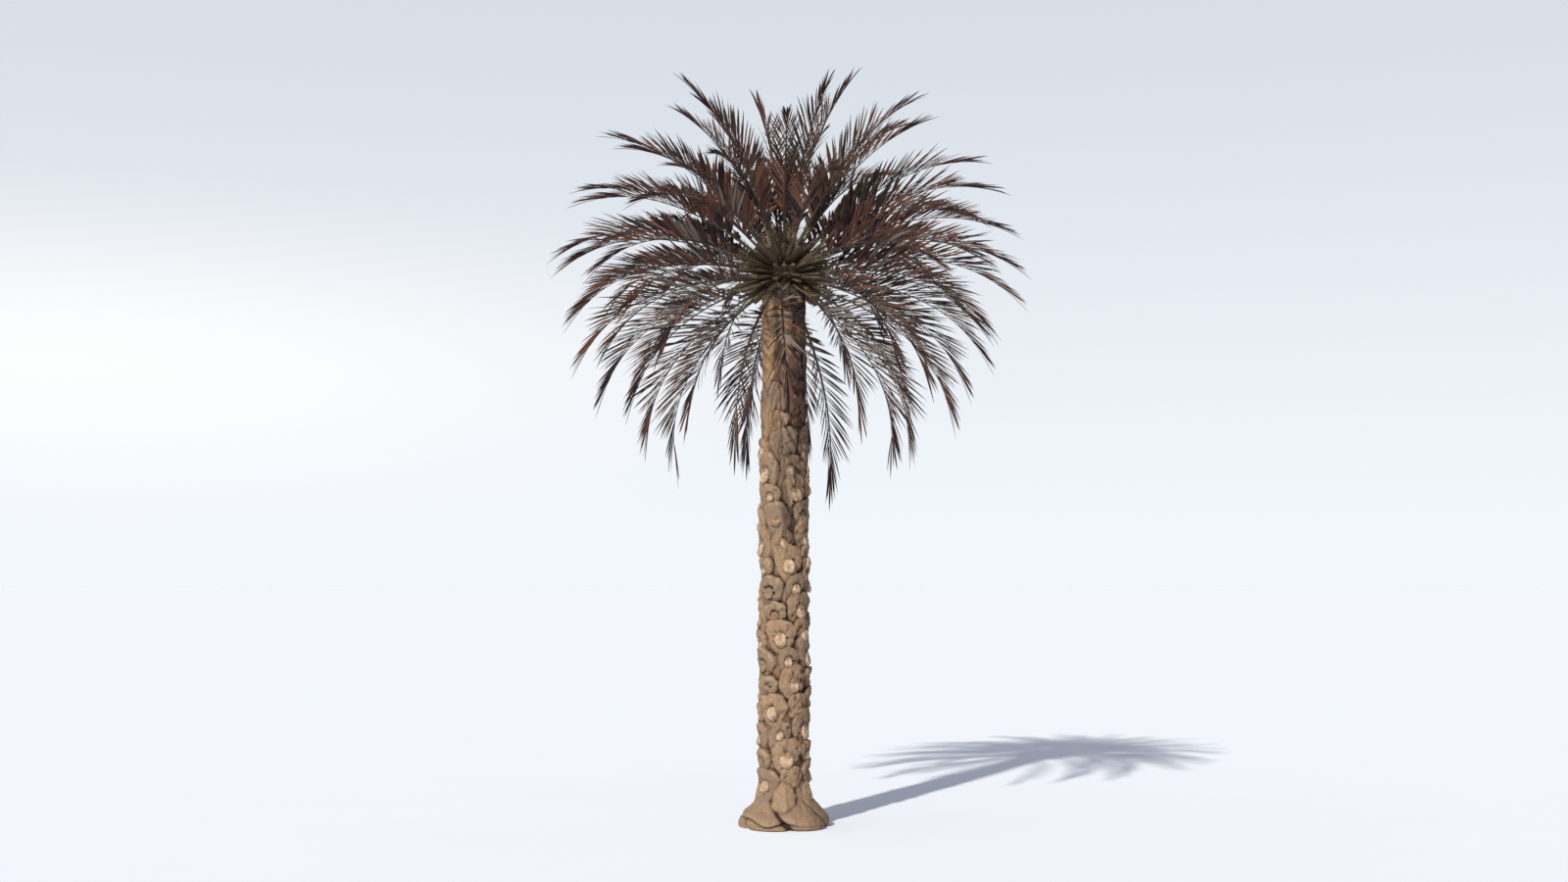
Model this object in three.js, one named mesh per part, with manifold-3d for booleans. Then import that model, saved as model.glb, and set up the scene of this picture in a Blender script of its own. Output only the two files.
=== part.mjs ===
// A date palm rooted in level ground: one straight trunk clad in the stubs of old leaves, with a flared
// foot, and a round crown of arching feather fronds that all spring from one bud at the top.
// Millimetres, +Z up. The origin is the middle of the flat cut under the trunk, at ground level.
import * as THREE from "three";
import { ConvexGeometry } from "three/addons/geometries/ConvexGeometry.js";
import { mergeVertices } from "three/addons/utils/BufferGeometryUtils.js";
import Module from "manifold-3d";

const wasm = await Module();
wasm.setup();

// ---- Driving dimensions: millimetres, and degrees where the name ends in _DEG ----

// The bud is the point inside the trunk's tip from which every frond's line starts.
const BUD_HEIGHT = 7000;
const HEART_RADIUS = 285;
const HEART_RISE = 300;

const TRUNK_FOOT_RADIUS = 285;
const TRUNK_TOP_RADIUS = 266;
const TRUNK_SIDES = 15;
const FLARE_HEIGHT = 500;
const FLARE_RADIUS = 590;
const FOOT_LOBES = 5;
const FOOT_CREASE_DEG = -90;
const FOOT_CREASE_DEPTH = 0.14;

// Boots are the stubs of old leaves: a broad scale that clasps the trunk, and the round end of the stalk
// that was sawn off it. Each climbs the spiral by one rise, and the topmost are flat and have no end.
const BOOT_LOWEST = 640;
const BOOT_HIGHEST = 6200;
const BOOT_RISE = 115;
const BOOT_HEIGHT = 560;
const BOOT_HALF_TURN_DEG = 45;
const BOOT_PROUD = 50;
const STALK_RADIUS = 60;
const STALK_LENGTH = 34;
const FLAT_BOOTS_FROM = 4900;

// Fronds share out the sphere round the bud. A fullness of 1 would share it evenly, and less puts more
// of them high up. Every frond bends down by about the same droop on its way to the tip, but the few
// youngest are still stiff and short: they lose up to these shares of the droop and of the length.
const FROND_COUNT = 80;
const SINGLE_FRONDS = 57;
const FROND_LENGTH = 2810;
const FROND_DROOP_DEG = 53;
const YOUNG_STIFFNESS = 0.55;
const YOUNG_SHORTNESS = 0.13;
const LOWEST_FROND_DEG = -48;
const HIGHEST_FROND_DEG = 87;
const CROWN_FULLNESS = 0.73;
const FIRST_AZIMUTH_DEG = 58;

// Towards -Y the middle fronds stand apart, so that the bud shows between them.
const PARTING_AZIMUTH_DEG = -90;
const PARTING_HALF_WIDTH_DEG = 32;
const PARTING_LOW_DEG = -10;
const PARTING_HIGH_DEG = 30;
const PARTING_EDGE_DEG = 8;

// Sawn stalks fill the parting, in rows across it. They stand out of the trunk's tip and of the heart.
const CUT_STALK_ROWS_DEG = [14, -10, 27];
const CUT_STALK_SPACING_DEG = 18;
const CUT_STALK_LENGTH = 110;
const CUT_STALK_WIDTH = 76;

// Leaflets start at this share of the rib, and the bare stalk is below it.
const LEAFY_FROM = 0.27;
const LEAFLETS_A_SIDE = 9;
const LEAFLET_LENGTH = 560;
const TERMINAL_LEAFLET = 460;
const LEAFLET_SAG = 0.08;
// The angle between a leaflet and the rib ahead of it, and how far the leaflet lifts out of the blade, each
// at the foot of the leafy part and at the tip.
const LEAFLET_FORWARD_DEG = [55, 14];
const LEAFLET_LIFT_DEG = [54, 38];

const GOLDEN_ANGLE_DEG = 137.508;
const SEAT_GAP = 0.3;
const LEAFLET_GAP = 4;

// ---- Helpers ----

const { clamp, lerp, smoothstep, degToRad, radToDeg, euclideanModulo } = THREE.MathUtils;

// An even scatter from -1 to 1 that differs with the frond and with the trait it is drawn for.
function vary(index, trait) {
  return ((index * 0.7549 + trait * 0.5698 + 0.5) % 1) * 2 - 1;
}

// A closed three.js geometry as a manifold-3d solid, by position only.
function solidOf(geometry) {
  const bare = new THREE.BufferGeometry();
  bare.setAttribute("position", geometry.getAttribute("position"));
  bare.setIndex(geometry.index);
  const merged = mergeVertices(bare, 1e-3);
  return new wasm.Manifold(
    new wasm.Mesh({
      numProp: 3,
      vertProperties: new Float32Array(merged.attributes.position.array),
      triVerts: new Uint32Array(merged.index.array),
    }),
  );
}

// A manifold-3d solid as a three.js geometry.
function geometryOf(solid) {
  const mesh = solid.getMesh();
  const geometry = new THREE.BufferGeometry();
  geometry.setAttribute("position", new THREE.BufferAttribute(mesh.vertProperties, 3));
  geometry.setIndex(new THREE.BufferAttribute(mesh.triVerts, 1));
  return geometry;
}

// A solid turned about +Z. The profile is [radius, height] pairs from the axis, round, and back to it.
function turned(profile, sides) {
  const points = profile.map(([radius, height]) => new THREE.Vector2(radius, height));
  return new THREE.LatheGeometry(points, sides).rotateX(Math.PI / 2);
}

// ---- Trunk: a tapering column on a lobed foot, clad in boots along a spiral ----

function trunkRadius(height) {
  return lerp(TRUNK_FOOT_RADIUS, TRUNK_TOP_RADIUS, height / BUD_HEIGHT);
}

// A point by its turn round the trunk, its height, and how far it stands out of the trunk's side.
function onTrunk(turn, height, proud) {
  const radius = trunkRadius(height) + proud;
  const angle = degToRad(turn);
  return new THREE.Vector3(radius * Math.cos(angle), radius * Math.sin(angle), height);
}

// Heights and radii up the outside of the foot, from its rounded rim to where it joins the column.
function footProfile() {
  const shares = [
    [0, 0.95],
    [0.12, 1],
    [0.24, 0.93],
    [0.45, 0.66],
    [0.66, 0.36],
    [0.84, 0.08],
  ];
  return shares.map(([up, out]) => {
    const height = up * FLARE_HEIGHT;
    return [lerp(trunkRadius(height), FLARE_RADIUS, out), height];
  });
}

// The foot swells in lobes with a crease between each two, and less so higher up.
function lobeFoot(geometry) {
  const position = geometry.getAttribute("position");
  for (let i = 0; i < position.count; i++) {
    const turn = Math.atan2(position.getY(i), position.getX(i)) - degToRad(FOOT_CREASE_DEG);
    const lobe = Math.abs(Math.sin((FOOT_LOBES * turn) / 2));
    const share = 1 - smoothstep(position.getZ(i), 0, FLARE_HEIGHT);
    const factor = 1 - FOOT_CREASE_DEPTH * share * (1 - lobe);
    position.setX(i, position.getX(i) * factor);
    position.setY(i, position.getY(i) * factor);
  }
}

function trunkColumn(growth) {
  const top = BUD_HEIGHT + growth;
  const column = [0.1, 0.3, 0.5, 0.7, 0.86, 1].map((share) => {
    const height = lerp(FLARE_HEIGHT, top, share);
    return [trunkRadius(height) + growth, height];
  });
  const geometry = turned([[0, 0], ...footProfile(), ...column, [0, top]], TRUNK_SIDES);
  lobeFoot(geometry);
  return geometry;
}

// A broad boss that stands over each crease of the foot.
function footBoss(index) {
  const turn = FOOT_CREASE_DEG + (360 / FOOT_LOBES) * index;
  const points = [];
  for (const side of [-1, 1]) {
    points.push(onTrunk(turn + 11 * side, 130, 225));
    points.push(onTrunk(turn + 22 * side, 180, 120));
    points.push(onTrunk(turn + 24 * side, 300, 135));
    points.push(onTrunk(turn + 25 * side, 430, 55));
    points.push(onTrunk(turn + 15 * side, 560, 50));
    points.push(onTrunk(turn + 11 * side, 640, -20));
  }
  return new ConvexGeometry(points);
}

// A boot's scale: narrow and flush at its foot, and broad, arched and proud at its upper edge.
function bootScale(boot) {
  const edge = [
    [0.25, -0.5, -0.2],
    [0.75, -0.25, -0.1],
    [1, 0.05, 0.3],
    [0.8, 0.36, 0.8],
    [0.35, 0.5, 1],
    [0.6, 0.25, -1.2],
  ];
  const points = [];
  for (const [across, up, out] of edge) {
    for (const side of [-1, 1]) {
      const turn = BOOT_HALF_TURN_DEG * across * side + boot.tilt * up;
      points.push(onTrunk(turn, boot.height + boot.tall * up, boot.proud * out));
    }
  }
  return new ConvexGeometry(points).rotateZ(boot.turn);
}

// The sawn end of the stalk: a short four-sided peg that leans up and out of the scale.
function bootStalk(boot) {
  const points = [];
  for (let corner = 0; corner < 4; corner++) {
    const angle = ((corner + 0.5) / 4) * 2 * Math.PI;
    for (const [out, lift, spread] of [[0, -10, 1.25], [STALK_LENGTH, 25, 1]]) {
      const across = STALK_RADIUS * spread * boot.size * Math.cos(angle);
      const up = STALK_RADIUS * spread * boot.size * Math.sin(angle) + lift;
      const radius = trunkRadius(boot.height) + 0.4 * boot.proud + out - 0.3 * up;
      points.push(new THREE.Vector3(radius, across, boot.height - 20 + up));
    }
  }
  return new ConvexGeometry(points).rotateZ(boot.turn);
}

function bootPlan(index) {
  const height = BOOT_LOWEST + BOOT_RISE * index;
  const flat = smoothstep(height, 4300, 5500);
  const size = 1 + 0.14 * vary(index, 1);
  return {
    height,
    size,
    turn: degToRad(GOLDEN_ANGLE_DEG * index),
    tall: BOOT_HEIGHT * size * lerp(1, 1.3, flat),
    proud: BOOT_PROUD * (1 + 0.35 * vary(index, 2)) * lerp(1, 0.4, flat),
    tilt: 10 * vary(index, 3),
  };
}

function trunkSolid() {
  let trunk = solidOf(trunkColumn(0));
  for (let index = 0; index < FOOT_LOBES; index++) {
    trunk = trunk.add(solidOf(footBoss(index)));
  }
  for (let index = 0; BOOT_LOWEST + BOOT_RISE * index < BOOT_HIGHEST; index++) {
    const boot = bootPlan(index);
    trunk = trunk.add(solidOf(bootScale(boot)));
    if (boot.height < FLAT_BOOTS_FROM) trunk = trunk.add(solidOf(bootStalk(boot)));
  }
  for (const stalk of cutStalks(false)) trunk = trunk.add(solidOf(stalk));
  return trunk;
}

// ---- Crown heart: the low dome of packed leaf bases on the trunk's tip ----

function heartDome(growth) {
  const base = BUD_HEIGHT + SEAT_GAP - growth;
  const arc = [0, 0.25, 0.5, 0.75];
  const side = arc.map((share) => {
    const angle = (share * Math.PI) / 2;
    const radius = (HEART_RADIUS + growth) * Math.cos(angle);
    return [radius, base + (HEART_RISE + 2 * growth) * Math.sin(angle)];
  });
  return turned([[0, base], ...side, [0, base + HEART_RISE + 2 * growth]], TRUNK_SIDES);
}

// One sawn stalk, a short box that tapers outwards along a line from the bud.
function cutStalk(riseDeg, azimuthDeg) {
  const along = new THREE.Vector3(1, 0, 0);
  along.applyEuler(new THREE.Euler(0, -degToRad(riseDeg), degToRad(azimuthDeg), "ZYX"));
  const left = new THREE.Vector3(-along.y, along.x, 0).normalize();
  const up = new THREE.Vector3().crossVectors(along, left);
  const root = { out: 0.6 * HEART_RADIUS, half: 0.5 * CUT_STALK_WIDTH };
  const end = { out: HEART_RADIUS + CUT_STALK_LENGTH, half: 0.4 * CUT_STALK_WIDTH };
  const points = [];
  for (const { out, half } of [root, end]) {
    for (const [across, over] of [[1, 0.6], [1, -0.6], [-1, -0.6], [-1, 0.6]]) {
      const point = new THREE.Vector3(0, 0, BUD_HEIGHT).addScaledVector(along, out);
      points.push(point.addScaledVector(left, across * half).addScaledVector(up, over * half));
    }
  }
  return new ConvexGeometry(points);
}

// The sawn stalks of the rows above the trunk's tip, or of those below it.
function cutStalks(above) {
  const stalks = [];
  for (const [row, rise] of CUT_STALK_ROWS_DEG.entries()) {
    if (rise > 0 !== above) continue;
    for (const column of row === 0 ? [-1, 0, 1] : [-0.5, 0.5]) {
      stalks.push(cutStalk(rise, PARTING_AZIMUTH_DEG + CUT_STALK_SPACING_DEG * column));
    }
  }
  return stalks;
}

// ---- Fronds ----

// Fronds follow one spiral, from the oldest, which hang, to the youngest, which stand in the middle.
function frondPlan(index) {
  const age = (index + 0.5) / FROND_COUNT;
  const low = Math.sin(degToRad(LOWEST_FROND_DEG));
  const high = Math.sin(degToRad(HIGHEST_FROND_DEG));
  const rise = Math.asin(lerp(low, high, age ** CROWN_FULLNESS));
  const young = age ** 6;
  return {
    rise: rise + degToRad(3.2 * vary(index, 8)),
    azimuth: parted(FIRST_AZIMUTH_DEG + GOLDEN_ANGLE_DEG * index, radToDeg(rise)),
    curl: degToRad(12 * vary(index, 6)),
    roll: degToRad(20 * vary(index, 10)),
    droop: degToRad(FROND_DROOP_DEG * (1 + 0.11 * vary(index, 3)) * (1 - YOUNG_STIFFNESS * young)),
    length: FROND_LENGTH * (1 + 0.045 * vary(index, 25)) * (1 - YOUNG_SHORTNESS * young),
  };
}

// The azimuth in radians of a frond, turned away from the parting if its rise is within the parting's.
function parted(azimuth, rise) {
  const away = euclideanModulo(azimuth - PARTING_AZIMUTH_DEG + 180, 360) - 180;
  const above = clamp((rise - PARTING_LOW_DEG) / PARTING_EDGE_DEG, 0, 1);
  const below = clamp((PARTING_HIGH_DEG - rise) / PARTING_EDGE_DEG, 0, 1);
  const squeezed = Math.abs(away) * (1 - PARTING_HALF_WIDTH_DEG / 180);
  const moved = Math.sign(away) * (PARTING_HALF_WIDTH_DEG + squeezed);
  return degToRad(PARTING_AZIMUTH_DEG + lerp(away, moved, above * below));
}

// The rib's frames from bud to tip: a point, the way along, the way to its left, and the way up out of
// the blade. The rib leaves the bud straight and bends down more and more towards its tip.
function ribFrames(plan, shares) {
  const steps = 48;
  const point = new THREE.Vector3(0, 0, BUD_HEIGHT);
  const alongAt = (share) => {
    const pitch = plan.rise - plan.droop * share ** 2;
    const heading = plan.azimuth + plan.curl * share ** 2;
    const level = new THREE.Vector3(Math.cos(heading), Math.sin(heading), 0);
    return level.multiplyScalar(Math.cos(pitch)).setZ(Math.sin(pitch));
  };
  const frames = [];
  for (let step = 0; step <= steps; step++) {
    const share = step / steps;
    if (step > 0) point.addScaledVector(alongAt(share - 0.5 / steps), plan.length / steps);
    const along = alongAt(share);
    const left = new THREE.Vector3(-along.y, along.x, 0).normalize();
    left.applyAxisAngle(along, plan.roll * share);
    const up = new THREE.Vector3().crossVectors(along, left);
    frames.push({ share, point: point.clone(), along, left, up });
  }
  return shares.map((share) => {
    const place = Math.min(share * steps, steps - 1e-6);
    const before = frames[Math.floor(place)];
    const after = frames[Math.floor(place) + 1];
    const part = place - Math.floor(place);
    const between = (name) => before[name].clone().lerp(after[name], part);
    return {
      share,
      point: between("point"),
      along: between("along").normalize(),
      left: between("left").normalize(),
      up: between("up").normalize(),
    };
  });
}

const STALK_SHARES = [0.07, 0.17];
const LEAF_SHARES = Array.from({ length: LEAFLETS_A_SIDE + 1 }, (_, i) =>
  lerp(LEAFY_FROM, 1, i / LEAFLETS_A_SIDE),
);

// The rib's half width and half thickness at a share of its length.
function ribHalves(share) {
  if (share < LEAFY_FROM) {
    const part = share / LEAFY_FROM;
    return [lerp(31, 24, part), lerp(23, 13, part)];
  }
  const part = (share - LEAFY_FROM) / (1 - LEAFY_FROM);
  return [lerp(24, 6, part), lerp(13, 4, part)];
}

// Four corners of the rib's section, in turn round it: left top, left bottom, right bottom, right top.
function ribSection(frame) {
  const [halfWidth, halfThickness] = ribHalves(frame.share);
  const corner = (side, face) =>
    frame.point
      .clone()
      .addScaledVector(frame.left, side * halfWidth)
      .addScaledVector(frame.up, face * halfThickness);
  return [corner(1, 1), corner(1, -1), corner(-1, -1), corner(-1, 1)];
}

// Where the point of one leaflet lies. side is 1 on the left and -1 on the right, and reach is its share
// of full length.
function leafletTip(before, after, side, reach) {
  const share = (before.share + after.share) / 2;
  const part = (share - LEAFY_FROM) / (1 - LEAFY_FROM);
  const length = reach * LEAFLET_LENGTH * (lerp(0.5, 0.8, part) + 0.45 * Math.sin(Math.PI * part));
  const forward = degToRad(lerp(LEAFLET_FORWARD_DEG[0], LEAFLET_FORWARD_DEG[1], part));
  const lift = degToRad(lerp(LEAFLET_LIFT_DEG[0], LEAFLET_LIFT_DEG[1], part));
  const out = side * Math.sin(forward) * Math.cos(lift);
  const tip = before.point.clone().lerp(after.point, 0.5);
  tip.addScaledVector(before.along, length * Math.cos(forward));
  tip.addScaledVector(before.left, length * out);
  tip.addScaledVector(before.up, length * Math.sin(forward) * Math.sin(lift));
  tip.z -= LEAFLET_SAG * length;
  return tip;
}

// A closed solid from corner points and the faces between them.
function closedGeometry(points, faces) {
  const geometry = new THREE.BufferGeometry();
  geometry.setFromPoints(points);
  geometry.setIndex(faces.flat());
  return geometry;
}

// The whole frond: rib and leaflets as one thin blade, cut to the rib between leaflets. A leaflet that
// has no tip is left out, and the rib's side is flat there.
function frondGeometry(sections, tips, end) {
  const points = sections.flat();
  const faces = [[0, 1, 2], [0, 2, 3]];
  const quad = (a, b, c, d) => faces.push([a, b, c], [a, c, d]);
  for (let i = 0; i + 1 < sections.length; i++) {
    const [lt, lb, rb, rt] = [0, 1, 2, 3].map((corner) => 4 * i + corner);
    quad(lt, rt, rt + 4, lt + 4);
    quad(rb, lb, lb + 4, rb + 4);
    for (const [side, top, bottom] of [["left", lt, lb], ["right", rb, rt]]) {
      const tip = tips[i]?.[side];
      if (!tip) {
        quad(top, top + 4, bottom + 4, bottom);
        continue;
      }
      const point = points.push(tip) - 1;
      faces.push([top, point, bottom], [bottom, point, bottom + 4]);
      faces.push([bottom + 4, point, top + 4], [top + 4, point, top]);
    }
  }
  const last = 4 * (sections.length - 1);
  const point = points.push(end) - 1;
  for (let corner = 0; corner < 4; corner++) {
    faces.push([last + ((corner + 1) % 4), last + corner, point]);
  }
  return closedGeometry(points, faces);
}

// One leaflet by itself, from the rib's side to its tip, to test what it would touch.
function leafletSolid(before, after, side, tip) {
  const [top, bottom] = side > 0 ? [0, 1] : [2, 3];
  const points = [before[top], before[bottom], after[bottom], after[top], tip];
  const faces = [[0, 1, 2], [0, 2, 3], [1, 0, 4], [2, 1, 4], [3, 2, 4], [0, 3, 4]];
  return solidOf(closedGeometry(points, faces));
}

// A solid with the box that it could touch something in.
function boxed(solid, owner) {
  const { min, max } = solid.boundingBox();
  const box = new THREE.Box3(new THREE.Vector3(...min), new THREE.Vector3(...max));
  return { solid, owner, box: box.expandByScalar(LEAFLET_GAP) };
}

function tooClose(one, other) {
  if (one.owner === other.owner || !one.box.intersectsBox(other.box)) return false;
  return one.solid.minGap(other.solid, LEAFLET_GAP) < LEAFLET_GAP;
}

// Leaflets are given out from the frond tips inwards, so that the crown keeps its outline. One that would
// touch the trunk or another frond is made shorter, and if that isn't enough it is left out.
function growLeaflets(fronds, trunk) {
  const grown = [boxed(trunk, "trunk"), ...fronds.map((frond) => boxed(frond.rib, frond.index))];
  for (let row = LEAFLETS_A_SIDE - 1; row >= 0; row--) {
    for (const frond of fronds) {
      const at = STALK_SHARES.length + row;
      frond.tips[at] = {};
      for (const [name, side] of [["left", 1], ["right", -1]]) {
        for (const reach of [1, 0.75, 0.5]) {
          const tip = leafletTip(frond.frames[at], frond.frames[at + 1], side, reach);
          const leaflet = leafletSolid(frond.sections[at], frond.sections[at + 1], side, tip);
          const tested = boxed(leaflet, frond.index);
          if (grown.some((other) => tooClose(tested, other))) continue;
          grown.push(tested);
          frond.tips[at][name] = tip;
          break;
        }
      }
    }
  }
}

function planFrond(index) {
  const plan = frondPlan(index);
  const frames = ribFrames(plan, [...STALK_SHARES, ...LEAF_SHARES]);
  const sections = frames.map(ribSection);
  const last = frames.at(-1);
  const end = last.point.clone().addScaledVector(last.along, TERMINAL_LEAFLET);
  end.z -= LEAFLET_SAG * TERMINAL_LEAFLET;
  const rib = solidOf(frondGeometry(sections, [], end));
  return { index, frames, sections, end, rib, tips: [] };
}

// ---- The palm ----

const trunkMaterial = new THREE.MeshStandardMaterial({ color: 0x9c8069, roughness: 0.9, metalness: 0 });
const heartMaterial = new THREE.MeshStandardMaterial({ color: 0x4a432e, roughness: 0.8, metalness: 0 });
const frondMaterial = new THREE.MeshStandardMaterial({ color: 0x4c362e, roughness: 0.7, metalness: 0 });

function named(name, solid, material) {
  const mesh = new THREE.Mesh(geometryOf(solid), material);
  mesh.name = name;
  return mesh;
}

const palm = new THREE.Group();
palm.name = "date_palm";

const trunk = trunkSolid();
palm.add(named("trunk", trunk, trunkMaterial));

const fronds = Array.from({ length: FROND_COUNT }, (_, index) => planFrond(index));
growLeaflets(fronds, trunk);

// The youngest fronds are still joined in the heart. Every other frond is cut clear of trunk and heart.
let heart = solidOf(heartDome(0));
for (const stalk of cutStalks(true)) heart = heart.add(solidOf(stalk));
const trunkSeat = solidOf(trunkColumn(SEAT_GAP));
const heartSeat = solidOf(heartDome(SEAT_GAP));
for (const frond of fronds) {
  const solid = solidOf(frondGeometry(frond.sections, frond.tips, frond.end)).subtract(trunkSeat);
  if (frond.index < SINGLE_FRONDS) {
    const name = "frond_" + String(frond.index + 1).padStart(2, "0");
    palm.add(named(name, solid.subtract(heartSeat), frondMaterial));
  } else {
    heart = heart.add(solid);
  }
}
palm.add(named("crown_heart", heart, heartMaterial));

export default palm;
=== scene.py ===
# %% [markdown]
# # A date palm, from the ground up
# A date palm is one straight trunk under a round crown of feather fronds. The trunk never grows bark of its
# own: what shows is the stubs of old leaves, which wrap it in a spiral like shingles. The crown follows the
# same spiral, so the whole tree comes from a few rules. This lesson grows it from those rules, round a plain
# solid model of the same palm that says how tall and how wide everything is.

# %% Load the solid palm
import math

import bmesh
import bpy
import numpy as np
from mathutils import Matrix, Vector, noise


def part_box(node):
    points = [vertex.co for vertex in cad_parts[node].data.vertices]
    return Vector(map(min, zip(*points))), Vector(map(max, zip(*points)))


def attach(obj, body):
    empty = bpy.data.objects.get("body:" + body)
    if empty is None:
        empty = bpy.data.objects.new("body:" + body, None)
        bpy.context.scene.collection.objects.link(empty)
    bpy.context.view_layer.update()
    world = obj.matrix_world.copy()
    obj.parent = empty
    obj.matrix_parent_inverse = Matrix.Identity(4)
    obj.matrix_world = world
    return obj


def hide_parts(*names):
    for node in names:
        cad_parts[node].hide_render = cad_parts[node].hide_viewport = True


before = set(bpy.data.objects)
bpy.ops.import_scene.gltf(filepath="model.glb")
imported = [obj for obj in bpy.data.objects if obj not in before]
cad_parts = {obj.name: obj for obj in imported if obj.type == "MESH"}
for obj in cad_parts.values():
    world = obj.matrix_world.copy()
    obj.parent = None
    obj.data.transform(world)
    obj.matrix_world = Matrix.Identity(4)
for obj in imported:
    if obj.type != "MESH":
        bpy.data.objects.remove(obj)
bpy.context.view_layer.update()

BUD_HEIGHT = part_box("trunk")[1].z
FROND_NODES = sorted(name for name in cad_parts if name.startswith("frond_"))
print("bud at", round(BUD_HEIGHT, 3), "m, and", len(FROND_NODES), "fronds have a solid of their own")

# %% [markdown]
# ## Camera
# The palm is seen from the front, from well above a person's head, with a normal lens. A camera that looks up
# a few degrees keeps both the foot and the crown in view. Blender's lens is in millimetres on a 36 mm sensor,
# as on a real camera, so a view can be planned with the numbers that are written on real lenses.

# %% Place the camera
CAMERA_DISTANCE = 25.0
CAMERA_HEIGHT = 3.1
CAMERA_TILT_DEG = 4.06
CAMERA_LENS_MM = 45
CAMERA_SENSOR_MM = 36

camera = bpy.data.objects.new("camera", bpy.data.cameras.new("camera"))
camera.data.lens = CAMERA_LENS_MM
camera.data.sensor_width = CAMERA_SENSOR_MM
camera.location = (0, -CAMERA_DISTANCE, CAMERA_HEIGHT)
camera.rotation_euler = (math.radians(90 + CAMERA_TILT_DEG), 0, 0)
bpy.context.scene.collection.objects.link(camera)
bpy.context.scene.camera = camera
print("camera", CAMERA_DISTANCE, "m in front of the trunk")

# %% [markdown]
# ## Colours and nodes
# A colour picked on a screen is stored as sRGB, but a renderer adds light in linear numbers, so each hex
# value passes through one function that undoes the screen's curve. A second small function adds any shader
# node with its settings and links, which keeps each material a short list of what it is made of.

# %% Helpers for every material
# Settings that several nodes share: a mix of two colours, and a value times a factor plus a second value.
COLOURS = {"data_type": "RGBA"}
TIMES_PLUS = {"operation": "MULTIPLY_ADD"}


def linear(hex_colour):
    """A colour written as sRGB hex, such as "9c8069", as linear red, green, blue and full alpha."""
    shares = [int(hex_colour[i : i + 2], 16) / 255 for i in (0, 2, 4)]
    return tuple(s / 12.92 if s <= 0.04045 else ((s + 0.055) / 1.055) ** 2.4 for s in shares) + (1.0,)


def add_node(tree, kind, settings=None, **inputs):
    """A node of one kind in a tree. An input is a value, an sRGB hex colour, or another node's output."""
    node = tree.nodes.new(kind)
    for name, value in (settings or {}).items():
        setattr(node, name, value)
    for name, value in inputs.items():
        number = name.removeprefix("in_")
        socket = node.inputs[int(number) if number.isdigit() else name.replace("_", " ")]
        if isinstance(value, bpy.types.NodeSocket):
            tree.links.new(value, socket)
        else:
            socket.default_value = linear(value) if isinstance(value, str) else value
    return node


def new_material(name, **shader_inputs):
    """A material with one Principled shader, and its node tree."""
    material = bpy.data.materials.new(name)
    material.use_nodes = True
    shader = material.node_tree.nodes["Principled BSDF"]
    for key, value in shader_inputs.items():
        shader.inputs[key.replace("_", " ")].default_value = value
    return material, material.node_tree, shader


print("d8b48c in linear light is", [round(v, 3) for v in linear("d8b48c")])

# %% [markdown]
# ## Floor, sky and light
# A studio for a whole tree is a pale floor under a pale sky. The floor is one large disc, and the sky is
# nearly the floor's colour where they meet, so that no hard horizon shows. A soft lamp glows low at the left.
# A low sun with a wide disc stands in for a second big lamp at the front left. It draws soft-edged shadows,
# which show how far each frond stands from the trunk. The sky gives less light than it seems to, and more
# from the left, because a dim fill lets the crown's own shade go dark, as dense foliage does.

# %% Make the floor, the sky and the sun
SUN_TURN_DEG = 24.5
SUN_RISE_DEG = 32
SUN_STRENGTH = 3.75
# The real sun's disc is half a degree wide.
SUN_DISC_DEG = 1.3
FLOOR_RADIUS = 900.0
# The sky reaches its upper colour where a ray climbs by this share of its length.
SKY_CLIMB = 0.32
# The glow of the soft lamp: the way to its middle, how far it reaches each way, and how white it is.
LAMP_WAY = (-0.345, 0.933, 0.104)
LAMP_REACH = (0.45, 1.0, 0.1)
LAMP_GLOW = 0.9

bpy.context.scene.view_settings.view_transform = "Standard"

floor_shape = bmesh.new()
bmesh.ops.create_circle(floor_shape, cap_ends=True, segments=96, radius=FLOOR_RADIUS)
floor_mesh = bpy.data.meshes.new("floor")
floor_shape.to_mesh(floor_mesh)
floor_shape.free()
floor = bpy.data.objects.new("floor", floor_mesh)
bpy.context.scene.collection.objects.link(floor)

painted_floor, tree, shader = new_material("matt_floor_paint", Roughness=0.95, Specular_IOR_Level=0.0)
place = add_node(tree, "ShaderNodeTexCoord").outputs["Object"]
# Roller marks in the paint are about 3 m long.
marks = add_node(tree, "ShaderNodeTexNoise", Vector=place, Scale=0.35, Detail=2.0).outputs["Fac"]
painted = add_node(tree, "ShaderNodeMix", COLOURS, in_0=marks, in_6="f5f8fe", in_7="f8fbff")
tree.links.new(painted.outputs[2], shader.inputs["Base Color"])
floor_mesh.materials.append(painted_floor)

sky = bpy.data.worlds.new("pale_sky")
bpy.context.scene.world = sky
sky.use_nodes = True
tree = sky.node_tree
facing = add_node(tree, "ShaderNodeTexCoord").outputs["Generated"]
height = add_node(tree, "ShaderNodeSeparateXYZ", Vector=facing)
smooth = {"interpolation_type": "SMOOTHSTEP"}
climb = add_node(tree, "ShaderNodeMapRange", smooth, in_0=height.outputs["Z"], in_1=0.0, in_2=SKY_CLIMB)
sky_colour = add_node(
    tree, "ShaderNodeMix", COLOURS, in_0=climb.outputs[0], in_6="f2f7fd", in_7="d7dde5"
).outputs[2]
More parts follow.
